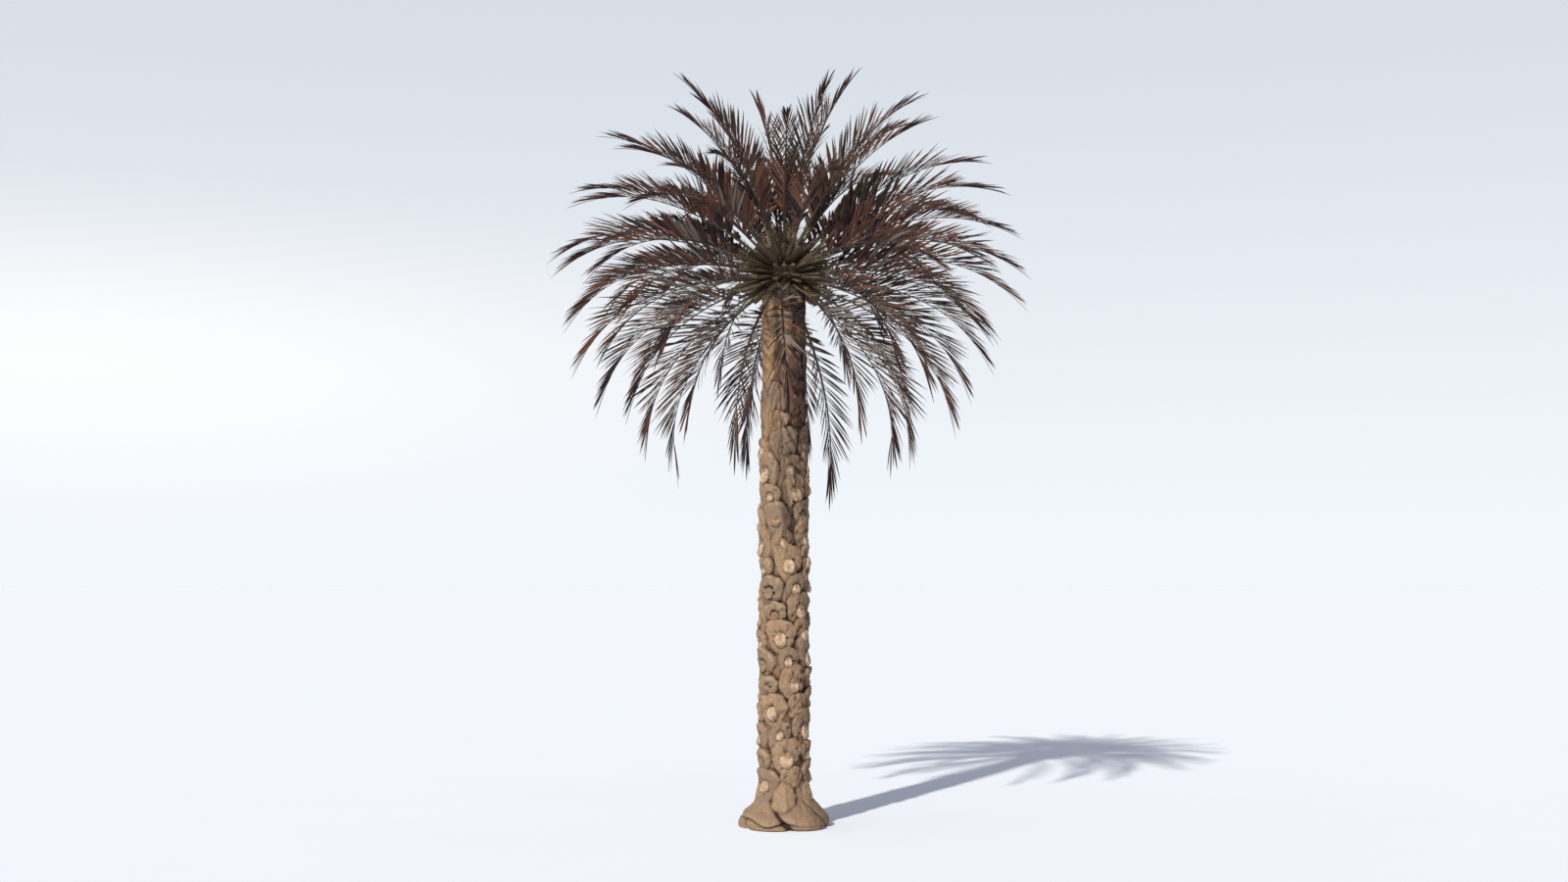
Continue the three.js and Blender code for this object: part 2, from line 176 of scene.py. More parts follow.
# How far a ray is from the lamp: 1 at the edge of its glow.
off_lamp = facing
for operation, vector in (("SUBTRACT", LAMP_WAY), ("DIVIDE", LAMP_REACH)):
    step = add_node(tree, "ShaderNodeVectorMath", {"operation": operation}, in_0=off_lamp, in_1=vector)
    off_lamp = step.outputs[0]
off_lamp = add_node(tree, "ShaderNodeVectorMath", {"operation": "LENGTH"}, in_0=off_lamp).outputs["Value"]
glow = add_node(tree, "ShaderNodeMapRange", smooth, in_0=off_lamp, in_3=LAMP_GLOW, in_4=0.0).outputs[0]
background = tree.nodes["Background"]
glowing = add_node(tree, "ShaderNodeMix", COLOURS, in_0=glow, in_6=sky_colour, in_7="ffffff")
tree.links.new(glowing.outputs[2], background.inputs["Color"])
# The fill comes more from the left, where the lamp is, than from the right.
rightward = add_node(tree, "ShaderNodeMapRange", in_0=height.outputs["X"], in_1=-1.0).outputs[0]
fill_colour = add_node(
    tree, "ShaderNodeMix", COLOURS, in_0=rightward, in_6="bec2d2", in_7="6e717c"
).outputs[2]
fill = add_node(tree, "ShaderNodeBackground", Color=fill_colour, Strength=1.0)
seen = add_node(tree, "ShaderNodeLightPath").outputs["Is Camera Ray"]
either = add_node(
    tree, "ShaderNodeMixShader", in_0=seen, in_1=fill.outputs[0], in_2=background.outputs[0]
)
tree.links.new(either.outputs[0], tree.nodes["World Output"].inputs["Surface"])

sun = bpy.data.objects.new("sun", bpy.data.lights.new("sun", "SUN"))
sun.data.energy = SUN_STRENGTH
sun.data.angle = math.radians(SUN_DISC_DEG)
sun.data.color = linear("fffdf3")[:3]
sun.rotation_euler = (math.radians(90 - SUN_RISE_DEG), 0, math.radians(-SUN_TURN_DEG))
bpy.context.scene.collection.objects.link(sun)
print("sun", SUN_RISE_DEG, "degrees up and", SUN_TURN_DEG, "degrees to the left of the camera")

# %% [markdown]
# ## Bark
# A date palm's "bark" is dry leaf base: coarse fibre bundles that run up the stub, bleached to tan where the
# sun reaches, rusty where the fibre is fresh, and dark brown in the cracks, from dust and from painted shade.
# The colour is mixed from those. Noise stretched up the trunk draws the fibres, and slow noise deals the rust
# in patches. Two numbers stored on each point of the mesh do the rest: `depth` says how deep below its
# surroundings a point lies, which darkens the cracks with dust and painted shade and pales the knobs with sun
# bleaching and a painted highlight, and `tone` says how grey its leaf base has weathered. Dry fibre is rough
# and not glossy, with the usual index of plant matter.

# %% Mix the bark
def bark_material(name, tan, pale, rust, grey, crack_dust_and_shade):
    """Dry leaf base, from the sRGB hex colours of its fibre, and of the dust and painted shade in its cracks.
    """
    material, tree, shader = new_material(name, Roughness=0.88, IOR=1.45, Specular_IOR_Level=0.25)
    place = add_node(tree, "ShaderNodeTexCoord").outputs["Object"]
    depth = add_node(tree, "ShaderNodeAttribute", {"attribute_name": "depth"}).outputs["Fac"]
    tone = add_node(tree, "ShaderNodeAttribute", {"attribute_name": "tone"}).outputs["Fac"]
    # Fibres are 2 mm across in life, and are drawn 8 mm across so that they show from across a yard.
    upright = add_node(tree, "ShaderNodeMapping", Vector=place, Scale=(120.0, 120.0, 14.0)).outputs[0]
    fibres = add_node(
        tree, "ShaderNodeTexNoise", Vector=upright, Scale=1.0, Detail=4.0, Roughness=0.65
    ).outputs["Fac"]
    bleach = add_node(tree, "ShaderNodeMapRange", in_0=fibres, in_1=0.36, in_2=0.68).outputs[0]
    colour = add_node(tree, "ShaderNodeMix", COLOURS, in_0=bleach, in_6=tan, in_7=pale).outputs[2]
    # Grey weathering follows the whole leaf base, blotched by noise about 80 mm across.
    blotches = add_node(
        tree, "ShaderNodeTexNoise", Vector=place, Scale=12.0, Detail=4.0, Roughness=0.6
    ).outputs["Fac"]
    greying = add_node(tree, "ShaderNodeMath", {"operation": "ADD"}, in_0=blotches, in_1=tone).outputs[0]
    greyed = add_node(tree, "ShaderNodeMapRange", in_0=greying, in_1=0.7, in_2=1.45).outputs[0]
    colour = add_node(tree, "ShaderNodeMix", COLOURS, in_0=greyed, in_6=colour, in_7=grey).outputs[2]
    # Rust patches are about half a stub wide, so their noise repeats eight times a metre.
    patches = add_node(
        tree, "ShaderNodeTexNoise", Vector=place, Scale=8.0, Detail=3.0, Roughness=0.6
    ).outputs["Fac"]
    rusty = add_node(tree, "ShaderNodeMapRange", in_0=patches, in_1=0.52, in_2=0.78, in_4=0.8).outputs[0]
    colour = add_node(tree, "ShaderNodeMix", COLOURS, in_0=rusty, in_6=colour, in_7=rust).outputs[2]
    # Fine dirt breaks the edge of the deep zone, in spots of about 25 mm.
    dirt = add_node(
        tree, "ShaderNodeTexNoise", Vector=place, Scale=40.0, Detail=4.0, Roughness=0.7
    ).outputs["Fac"]
    dirt_and_depth = add_node(tree, "ShaderNodeMath", TIMES_PLUS, in_0=dirt, in_1=0.9, in_2=depth).outputs[0]
    # Proud points pale: partly sun bleaching, partly a painted highlight.
    bleach_and_highlight = add_node(tree, "ShaderNodeMapRange", in_0=dirt_and_depth, in_1=0.25, in_2=-0.5, in_4=0.7).outputs[0]
    # Deep points darken towards the colour of the cracks: partly dust, partly painted shade.
    shaded = add_node(tree, "ShaderNodeMapRange", in_0=dirt_and_depth, in_1=0.8, in_2=2.0).outputs[0]
    colour = add_node(tree, "ShaderNodeMix", COLOURS, in_0=bleach_and_highlight, in_6=colour, in_7=pale).outputs[2]
    colour = add_node(tree, "ShaderNodeMix", COLOURS, in_0=shaded, in_6=colour, in_7=crack_dust_and_shade).outputs[2]
    tree.links.new(colour, shader.inputs["Base Color"])
    relief = add_node(tree, "ShaderNodeMath", TIMES_PLUS, in_0=fibres, in_1=0.6, in_2=dirt).outputs[0]
    bump = add_node(tree, "ShaderNodeBump", Height=relief, Strength=0.9, Distance=0.012)
    tree.links.new(bump.outputs[0], shader.inputs["Normal"])
    return material


BARK = bark_material("dry_leaf_base_fibre", "806650", "aa9075", "93673f", "836f5e", "43322b")
SMOOTH_BARK = bark_material("dry_leaf_base_smooth", "88694f", "b8946f", "99663e", "7a6a5c", "33251f")
print("bark materials:", BARK.name, "and", SMOOTH_BARK.name)

# %% [markdown]
# ## Shapes that repeat
# The palm has about a hundred leaf stubs, seventy sawn stalk ends, eighty ribs and seven thousand leaflets,
# but only a handful of shapes. Each shape is modelled once, as a template with mesh operators, and read out
# as arrays. A rule then bends every copy to its own place, and all the copies become one joined mesh. That
# is far quicker than thousands of objects.

# %% Templates, joined copies and pieces
def lerp(low, high, share):
    return low + (high - low) * share


def smoothstep(value, low, high):
    share = np.clip((value - low) / (high - low), 0, 1)
    return share * share * (3 - 2 * share)


def hump(value, width):
    """1 where the value is 0, falling smoothly to almost nothing at two widths from it."""
    return np.exp(-((value / width) ** 2))


def vary(index, trait):
    """An even scatter from -1 to 1 that differs with the index and with the trait it is drawn for."""
    return ((index * 0.7549 + trait * 0.5698 + 0.5) % 1) * 2 - 1


def template_of(shape):
    """A bmesh as arrays: its points, its faces' corner numbers, and each face's number of corners."""
    shape.normal_update()
    mesh = bpy.data.meshes.new("template")
    shape.to_mesh(mesh)
    shape.free()
    points = np.empty(3 * len(mesh.vertices))
    corners = np.empty(len(mesh.loops), dtype=np.int32)
    sizes = np.empty(len(mesh.polygons), dtype=np.int32)
    mesh.vertices.foreach_get("co", points)
    mesh.loops.foreach_get("vertex_index", corners)
    mesh.polygons.foreach_get("loop_total", sizes)
    bpy.data.meshes.remove(mesh)
    return points.reshape(-1, 3), corners, sizes


def joined_mesh(name, template, copies, smooth):
    """One mesh of many copies of a template. copies holds the points of each, in the template's order."""
    points, corners, sizes = template
    copies = np.asarray(copies, dtype=np.float32).reshape(-1, len(points), 3)
    mesh = bpy.data.meshes.new(name)
    mesh.vertices.add(copies.shape[0] * len(points))
    mesh.vertices.foreach_set("co", copies.ravel())
    first = np.arange(copies.shape[0], dtype=np.int32)[:, None] * len(points)
    mesh.loops.add(copies.shape[0] * len(corners))
    mesh.loops.foreach_set("vertex_index", (corners + first).ravel())
    starts = np.cumsum(np.tile(sizes, copies.shape[0]))
    mesh.polygons.add(len(starts))
    mesh.polygons.foreach_set("loop_start", np.concatenate([[0], starts[:-1]]).astype(np.int32))
    mesh.polygons.foreach_set("use_smooth", np.full(len(starts), smooth))
    mesh.update(calc_edges=True)
    mesh.validate()
    return mesh


def add_piece(name, template, copies, material, smooth=True, numbers=None):
    """One object of many copies. It moves with the palm and takes the material it is given.

    numbers holds lists by name, with a number for each point, which a material can read.
    """
    mesh = joined_mesh(name, template, copies, smooth)
    for title, values in (numbers or {}).items():
        mesh.attributes.new(title, "FLOAT", "POINT").data.foreach_set("value", np.float32(values))
    piece = bpy.data.objects.new(name, mesh)
    bpy.context.scene.collection.objects.link(piece)
    mesh.materials.append(material)
    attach(piece, "root")
    triangles = sum(len(face.vertices) - 2 for face in mesh.polygons)
    print(f"{name}: {triangles} triangles")
    return piece


def grain(points, size, octaves=3):
    """Noise of about -1 to 1 at each point. size is its grain in metres, one number or one per axis."""
    scaled = points / np.asarray(size)
    return np.array([noise.fractal(Vector(point), 1.0, 2.0, octaves) for point in scaled])


print("helpers ready; frond 5 leans by", round(vary(5, 8), 3), "of its range")

# %% [markdown]
# ## Trunk: the column and its lobed foot
# Under the stubs is a plain column that tapers by a few centimetres, and flares at the ground into a swollen
# foot. The foot of an old palm bulges in lobes with deep creases between them, over a rounded rim. A closed
# cone with many rings takes this shape well: every point keeps its turn round the trunk and its height, and
# only its distance from the axis is worked out. Rings lie closer together at the foot, where there is more
# to show, and a lip runs round the lobes a hand above the ground. The same ringed cone, with other numbers
# of sides and rings, will make the stalks, the ribs and the leaflets.

# %% Shape the column
TRUNK_FOOT_RADIUS = 0.285
TRUNK_TOP_RADIUS = 0.266
FLARE_HEIGHT = 0.5
FLARE_RADIUS = 0.59
FOOT_LOBES = 5
FOOT_CREASE_DEG = -90
FOOT_CREASE_DEPTH = 0.14
# Each crease leans as it climbs: its turn at the ground and at the top of the flare.
FOOT_CREASE_LEAN_DEG = [10, -44]
COLUMN_SIDES = 200
COLUMN_RINGS = 250
# How much closer the rings lie at the foot, from 0 for even ones.
RING_CROWDING = 0.72
# The lip is cut in and the belly over it stands out by so many metres, and so deep are the hollows at the
# ground. Above the flare the column draws in a little.
LIP_DEPTH = 0.03
BELLY_OUT = 0.02
HOLLOW_DEPTH = 0.075
DRAWN_IN = 0.018


def ringed_cone(sides, cuts, bottom):
    """A closed round cone, 1 high and 2 across at both ends, cut into rings, from one height up."""
    shape = bmesh.new()
    bmesh.ops.create_cone(shape, cap_ends=True, segments=sides, radius1=1, radius2=1, depth=1)
    bmesh.ops.translate(shape, verts=shape.verts, vec=(0, 0, bottom + 0.5))
    uprights = [e for e in shape.edges if abs(e.verts[0].co.z - e.verts[1].co.z) > 0.5]
    bmesh.ops.subdivide_edges(shape, edges=uprights, cuts=cuts, use_grid_fill=True)
    return shape


def trunk_radius(height):
    return lerp(TRUNK_FOOT_RADIUS, TRUNK_TOP_RADIUS, height / BUD_HEIGHT)


def foot_radius(height):
    """The flared outline of the foot, from its rounded rim up to the column."""
    shares = [0, 0.03, 0.12, 0.2, 0.3, 0.45, 0.66, 0.84, 1]
    outs = [0.93, 0.97, 1.0, 0.96, 0.86, 0.64, 0.33, 0.09, 0]
    out = np.interp(height / FLARE_HEIGHT, shares, outs)
    return lerp(trunk_radius(height), FLARE_RADIUS, out)


def crease_distance(turn, height):
    """How far a point is from the nearest crease of the foot, from 0 in it to 1 on a lobe's middle."""
    lean = lerp(FOOT_CREASE_LEAN_DEG[0], FOOT_CREASE_LEAN_DEG[1], np.clip(height / FLARE_HEIGHT, 0, 1))
    return np.abs(np.sin(FOOT_LOBES * (turn - np.radians(FOOT_CREASE_DEG + lean)) / 2))


def round_trunk(radius, turn, height):
    """Points at a distance from the trunk's axis, a turn round it and a height."""
    return np.stack([radius * np.cos(turn), radius * np.sin(turn), height], axis=1)


def outward_at(points):
    """The level way out from the trunk's axis at each point."""
    level = points * [1, 1, 0]
    return level / np.maximum(np.linalg.norm(level, axis=1), 1e-6)[:, None]


def column_points(points):
    """The cone's points, moved out to the trunk's surface."""
    turn = np.arctan2(points[:, 1], points[:, 0])
    share = points[:, 2] + 0.5
    height = BUD_HEIGHT * lerp(share, share**3, RING_CROWDING)
    lobe = crease_distance(turn, height)
    low = 1 - smoothstep(height, 0, FLARE_HEIGHT)
    radius = foot_radius(height) * (1 - FOOT_CREASE_DEPTH * low * (1 - lobe))
    # Each crease opens into a hollow at the ground.
    hollow = hump(lobe, lerp(0.22, 0.1, smoothstep(height, 0.03, 0.2))) * low
    # The lip runs highest at the left, dips on the front left lobe, and fades out at the right and behind.
    # The foot bellies out just above it.
    dip = hump(turn + 1.95, 0.3)
    wave = 0.08 - 0.05 * np.cos(turn) - 0.045 * dip + 0.012 * np.sin(7 * turn)
    strength = lerp(0.35, 1.3, 0.5 - 0.5 * np.sin(turn + 0.3))
    strength *= lerp(1, 0.3, smoothstep(np.cos(turn), 0, 0.5))
    lip = strength * hump(height - wave, 0.011)
    belly = strength * hump(height - wave - 0.06, 0.045)
    radius += BELLY_OUT * belly - LIP_DEPTH * lip - HOLLOW_DEPTH * hollow
    radius -= DRAWN_IN * smoothstep(height, 0.5, 0.7)
    radius = np.where(height < 1e-6, radius.min(), radius)
    moved = round_trunk(radius, turn, height)
    rough = 0.014 * grain(moved, (0.12, 0.12, 0.16)) + 0.008 * grain(moved, 0.05) + 0.003 * grain(moved, 0.02)
    inner = np.hypot(points[:, 0], points[:, 1]) > 1e-6
    return moved + (rough * inner * (height > 0.01) * (share < 1))[:, None] * outward_at(moved)


column_template = template_of(ringed_cone(COLUMN_SIDES, COLUMN_RINGS, -0.5))
column_copy = column_points(column_template[0])
print("foot", round(2 * FLARE_RADIUS, 2), "m wide")

# %% [markdown]
# ## Boots: the stubs of old leaves
# Each old leaf leaves a boot: a broad shield that clasps a quarter of the trunk, flush at its pointed foot
# and standing proud at its arched upper edge. A disc is a good start. Its face is inset ring by ring, which
# gives rings to shape the lip, the dip behind it and the groove over the stalk. The disc is then bent round
# the trunk at every step of the spiral. The step of the spiral is the golden angle, which never lines two
# boots up. Between the large boots lie the edges of smaller ones.

# %% Model one boot
BOOT_SIDES = 72
BOOT_RING_STEPS = [
    0.025, 0.03, 0.04, 0.05, 0.06, 0.06, 0.065, 0.07, 0.07, 0.07, 0.07, 0.06, 0.06, 0.05, 0.05, 0.05, 0.05
]

boot_shape = bmesh.new()
bmesh.ops.create_cone(boot_shape, cap_ends=True, segments=BOOT_SIDES, radius1=0.78, radius2=1, depth=1)
boot_face = max(boot_shape.faces, key=lambda face: face.calc_center_median().z)
for step in BOOT_RING_STEPS:
    bmesh.ops.inset_region(boot_shape, faces=[boot_face], thickness=step, use_even_offset=True)
bmesh.ops.poke(boot_shape, faces=[boot_face])
boot_template = template_of(boot_shape)
print("a boot has", len(boot_template[2]), "faces")

# %% [markdown]
# The rule below gives each boot its height, turn, size and tilt. Higher up the boots are younger: they lie
# flatter and run longer, and above 4.9 m they keep no stalk. The shield is pressed on to the trunk by turning
# its width into an angle and its thickness into a distance from the axis. Slow noise then pulls its outline
# into horns and notches, since no two leaves break off alike, and three sizes of noise roughen its face.

# %% Bend the boots round the trunk
GOLDEN_ANGLE_DEG = 137.508
BOOT_LOWEST = 0.64
BOOT_HIGHEST = 6.6
BOOT_RISE = 0.115
BOOT_HEIGHT = 0.56
BOOT_HALF_TURN_DEG = 45
BOOT_PROUD = 0.05
# In shares of how proud a boot stands: the swell of its middle, the roll of its edge, and its sunken back.
BOOT_PILLOW = 0.42
BOOT_ROLL = 1.15
BOOT_BACK = -1.6
STALK_RADIUS = 0.06
# The boots flatten from the first of these heights to the second, and lose their stalks between them.
FLATTENING = (4.3, 5.5)
FLAT_BOOTS_FROM = 4.9
# A stalk has broken short if its chance value, from -1 to 1, is above this.
BROKEN_ABOVE = 0.62
# The small boots sit in the middle of each gap that three large ones leave.
GAP_TURN_DEG = -16.25
GAP_RISE = 0.2875
SMALL_BOOT_SHARE = 0.72
# Small boots are numbered from here up, so that their chance values differ from the large ones'.
SMALL_BOOTS_FROM = 500


def boot_plan(index, small=False):
    """Where one boot sits, and how large and how proud it is. Turns are in radians."""
    height = BOOT_LOWEST + BOOT_RISE * index
    flat = smoothstep(height, *FLATTENING)
    share = SMALL_BOOT_SHARE if small else 1
    size = (1 + 0.16 * vary(index, 1)) * share
    number = index + (SMALL_BOOTS_FROM if small else 0)
    return {
        "index": number,
        "small": small,
        "broken": vary(number, 18) > BROKEN_ABOVE,
        "height": height + (GAP_RISE if small else 0),
        "size": size,
        "turn": math.radians(GOLDEN_ANGLE_DEG * index + (GAP_TURN_DEG + 5 * vary(index, 12) if small else 0)),
        "tall": BOOT_HEIGHT * size * lerp(0.94, 1.25, flat),
        "wide": math.radians(BOOT_HALF_TURN_DEG) * share * lerp(0.94, 0.92, flat),
        "proud": BOOT_PROUD * (1 + 0.5 * vary(index, 2)) * lerp(1, 0.5, flat),
        "tilt": math.radians(14 * vary(index, 3)),
        "tone": 0.5 + 0.5 * vary(index, 33 if small else 32),
        "flat": flat,
    }


def bent_boot(points, boot):
    """A boot's points on the trunk: its back is sunk in, and its face has lip, groove and pillow."""
    seed = 3 * boot["height"]
    reach = np.hypot(points[:, 0], points[:, 1])
    rim_way = outward_at(points) + seed
    lobes, notches = grain(rim_way, 0.9, 2), grain(rim_way, 0.25, 2)
    uneven = 1 + reach * (0.2 * lobes + 0.06 * notches)
    across = points[:, 0] * (0.95 + 0.27 * points[:, 1]) * uneven
    up = points[:, 1] / 2 * lerp(1, uneven, 0.7)
    face = points[:, 2] > 0
    top = smoothstep(points[:, 1], -0.5, 0.7)
    edge_out = (-0.15 + 1.15 * np.clip((points[:, 1] + 1) / 2, 0, 1) ** 1.4) * (1 + 0.5 * lobes * reach)
    roll = BOOT_ROLL * np.clip((reach - lerp(0.72, 0.9, top)) / lerp(0.28, 0.1, top), 0, 1) ** 2
    over_stalk = smoothstep(points[:, 1] + 0.5 * notches, -0.2, 0.35) * (0.55 + 0.4 * vary(boot["index"], 20))
    groove = over_stalk * hump(reach - 0.34 - 0.07 * notches, 0.07) * (1 - boot["flat"])
    pillow = BOOT_PILLOW * (1 - reach**2.4) * lerp(1, 0.6, boot["flat"])
    out = np.where(face, edge_out + pillow - roll - groove, BOOT_BACK)
    turn = boot["turn"] + boot["wide"] * across + boot["tilt"] * up
    height = boot["height"] + boot["tall"] * up
    radius = foot_radius(np.maximum(height, 0)) + boot["proud"] * out
    bent = round_trunk(radius, turn, height)
    rough = 0.017 * grain(bent, (0.1, 0.1, 0.13)) + 0.009 * grain(bent, (0.045, 0.045, 0.06))
    pits = 0.022 * smoothstep(grain(bent + 9, 0.08, 2), 0.3, 0.6)
    rough = lerp(1, 0.6, boot["flat"]) * (rough - pits) + 0.0035 * grain(bent, 0.018)
    ragged = 0.025 * grain(bent, 0.05) * hump(reach - 1, 0.1)
    bent += (rough * face)[:, None] * outward_at(bent)
    bent[:, 2] += ragged * face
    return bent


large_count = math.ceil((BOOT_HIGHEST - BOOT_LOWEST) / BOOT_RISE)
boots = [boot_plan(index) for index in range(-1, large_count)]
boots += [boot_plan(index, small=True) for index in range(-4, large_count - 1)]
boot_copies = [bent_boot(boot_template[0], boot) for boot in boots]
print(len(boots), "boots, the highest at", round(max(boot["height"] for boot in boots), 2), "m")

# %% [markdown]
# ## Foot bosses
# Over the front crease of the foot stands a boss, the pale swollen base of a lost leaf, which leans on the
# trunk and bulges out where the roots push from below. It is the boot's shield again, turned to be proudest
# low down, with a ragged overhanging foot, and flush at the top. Lower bosses cover the other creases.

# %% Bend the bosses over the creases
BOSS_LOW = 0.19
BOSS_HIGH = 0.64
BOSS_HALF_TURN_DEG = 28
# How proud each boss is, from the front one round the trunk.
BOSS_SHARES = [1, 0.5, 0.75, 0.8, 0.5]


def bent_boss(points, index):
    turn_middle = math.radians(FOOT_CREASE_DEG + 360 / FOOT_LOBES * index)
    reach = np.hypot(points[:, 0], points[:, 1])
    face = points[:, 2] > 0
    rim_way = outward_at(points) + 7 * index + 3
    uneven = 1 + reach * (0.2 * grain(rim_way, 0.8, 2) + 0.09 * grain(rim_way, 0.25, 2))
    share = (points[:, 1] * lerp(1, uneven, 0.5) + 1) / 2
    wide = np.interp(share, [0, 0.15, 0.4, 0.6, 0.85, 1], [0.8, 1.0, 1.0, 0.95, 0.85, 0.8])
    turn = turn_middle + math.radians(BOSS_HALF_TURN_DEG) * points[:, 0] * wide * uneven
    height = lerp(BOSS_LOW, BOSS_HIGH, share)
    out = np.interp(share, [0, 0.07, 0.3, 0.55, 0.85, 1], [0.18, 0.21, 0.165, 0.115, 0.055, -0.02])
    out = out * BOSS_SHARES[index] - 0.07 * reach**4 + 0.02 * hump(points[:, 0], 0.3)
    radius = np.where(face, trunk_radius(height) + out, trunk_radius(height) * 0.85)
    bent = round_trunk(radius, turn, height)
    rough = 0.016 * grain(bent, (0.08, 0.08, 0.2)) + 0.008 * grain(bent, 0.04) + 0.003 * grain(bent, 0.015)
    bent += (rough * face)[:, None] * outward_at(bent)
    bent[:, 2] += 0.03 * grain(bent, 0.04) * hump(reach - 1, 0.15) * (share < 0.5)
    return bent


boss_copies = [bent_boss(boot_template[0], index) for index in range(FOOT_LOBES)]
print(FOOT_LOBES, "bosses over the creases of the foot")

# %% [markdown]
# ## Weathering and painted shade
# Dust gathers where the trunk lies deeper than what surrounds it, and there the colour is also darkened as
# painted shade. The sun bleaches whatever stands proud, and its paleness is partly a painted highlight. To
# measure that, the trunk is unrolled on to a flat map: each cell keeps how far out the trunk reaches there.
# Cells with no point take a neighbour's number, and then the map is smoothed over a hand's width. A point
# that lies under the smoothed map is deep, and one above it is proud. The side away from the sun also gets
# painted shade, strongest under the crown, which is added as if it lay deeper.

# %% Map how far out the trunk reaches
MAP_TURNS = 110
MAP_STEP = 0.02
MAP_ROWS = int((BUD_HEIGHT + 0.2) / MAP_STEP)
DEPTH_UNIT = 0.025
# The painted side shade starts and ends over these turns in degrees. Its strength is given at four heights.
SIDE_SHADE_FROM_DEG = (-92, -64)
SIDE_SHADE_TO_DEG = (0, 100)
SIDE_SHADE_HEIGHTS = [0.3, 0.9, 4.3, 5.3]
SIDE_SHADE_STRENGTHS = [0, 0.5, 0.5, 1.45]


def excess(points):
    """How far each point stands out from the plain column and its flare."""
    return np.hypot(points[:, 0], points[:, 1]) - foot_radius(np.maximum(points[:, 2], 0))


def painted_side_shade(points):
    """How much painted shade each point gets: on the side away from the sun only, and most of all under the
    crown.
    """
    turn_deg = np.degrees(np.arctan2(points[:, 1], points[:, 0]))
    side = smoothstep(turn_deg, *SIDE_SHADE_FROM_DEG) * (1 - smoothstep(turn_deg, *SIDE_SHADE_TO_DEG))
    return side * np.interp(points[:, 2], SIDE_SHADE_HEIGHTS, SIDE_SHADE_STRENGTHS)


def map_cells(points):
    turn = np.arctan2(points[:, 1], points[:, 0]) / (2 * np.pi)
    across = np.floor(turn % 1 * MAP_TURNS).astype(int) % MAP_TURNS
    return across, np.clip(points[:, 2] / MAP_STEP, 0, MAP_ROWS - 1).astype(int)


def with_neighbours(cells):
    """The map itself, and moved one cell each way. It is closed round the trunk, but not up it."""
    rows = np.pad(cells, ((0, 0), (1, 1)), mode="edge")
    return np.stack([cells, np.roll(cells, 1, 0), np.roll(cells, -1, 0), rows[:, 2:], rows[:, :-2]])


trunk_points = np.concatenate([column_copy] + boot_copies + boss_copies)
reach_map = np.full((MAP_TURNS, MAP_ROWS), -1.0)
np.maximum.at(reach_map, map_cells(trunk_points), excess(trunk_points))
for _ in range(3):
    reach_map = np.where(reach_map < -0.5, with_neighbours(reach_map).max(axis=0), reach_map)
for _ in range(12):
    reach_map = with_neighbours(reach_map).mean(axis=0)
print("the trunk stands out by up to", round(float(reach_map.max()), 3), "m on the smoothed map")

# %% [markdown]
# Now the parts of the trunk become pieces. Each point stores how deep it lies on the map, with the painted
# side shade added, and how grey its boot has weathered. The boots are split by height into three pieces so
# that none grows too heavy, and the flat young ones take the smoother, warmer bark.

# %% Make the trunk's pieces
LOW_BOOTS_TO = 2.4
# The heights that each piece takes its boots from.
BOOT_GROUPS = {
    "boots_low": (0, LOW_BOOTS_TO),
    "boots_high": (LOW_BOOTS_TO, FLAT_BOOTS_FROM),
    "flat_boots": (FLAT_BOOTS_FROM, BUD_HEIGHT),
}
COLUMN_TONE = 0.35


def bark_piece(name, template, copies, tones, material):
    """A piece of the trunk, with the depth of each point, plus its painted side shade, and the tone of each
    copy stored on it.
    """
    points = np.concatenate(copies)
    deep = (reach_map[map_cells(points)] - excess(points)) / DEPTH_UNIT
    # depth carries the painted shade of the side away from the sun, as well as how deep the point lies.
    numbers = {"depth": deep + painted_side_shade(points), "tone": np.repeat(tones, len(template[0]))}
    return add_piece(name, template, copies, material, numbers=numbers)


column = bark_piece("trunk_column", column_template, [column_copy], [COLUMN_TONE], BARK)
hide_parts("trunk")
bark_piece("foot_bosses", boot_template, boss_copies, np.zeros(FOOT_LOBES), BARK)
for name, (bottom, top) in BOOT_GROUPS.items():
    chosen = [i for i, boot in enumerate(boots) if bottom <= boot["height"] < top]
    tones = [boots[i]["tone"] for i in chosen]
    finish = SMOOTH_BARK if name == "flat_boots" else BARK
    bark_piece(name, boot_template, [boot_copies[i] for i in chosen], tones, finish)

# %% [markdown]
# ## Sawn stalk ends
# In the middle of most boots stands the end of the leaf's stalk, sawn off a few centimetres out. The cut
# wood is the palest thing on the trunk, a dense straw colour with dark pores and a weathered rim, and some
# ends have broken short and gone brown. A short oval cone with a bevelled rim and a dished top has just
# enough faces to catch the light as a cut end does.

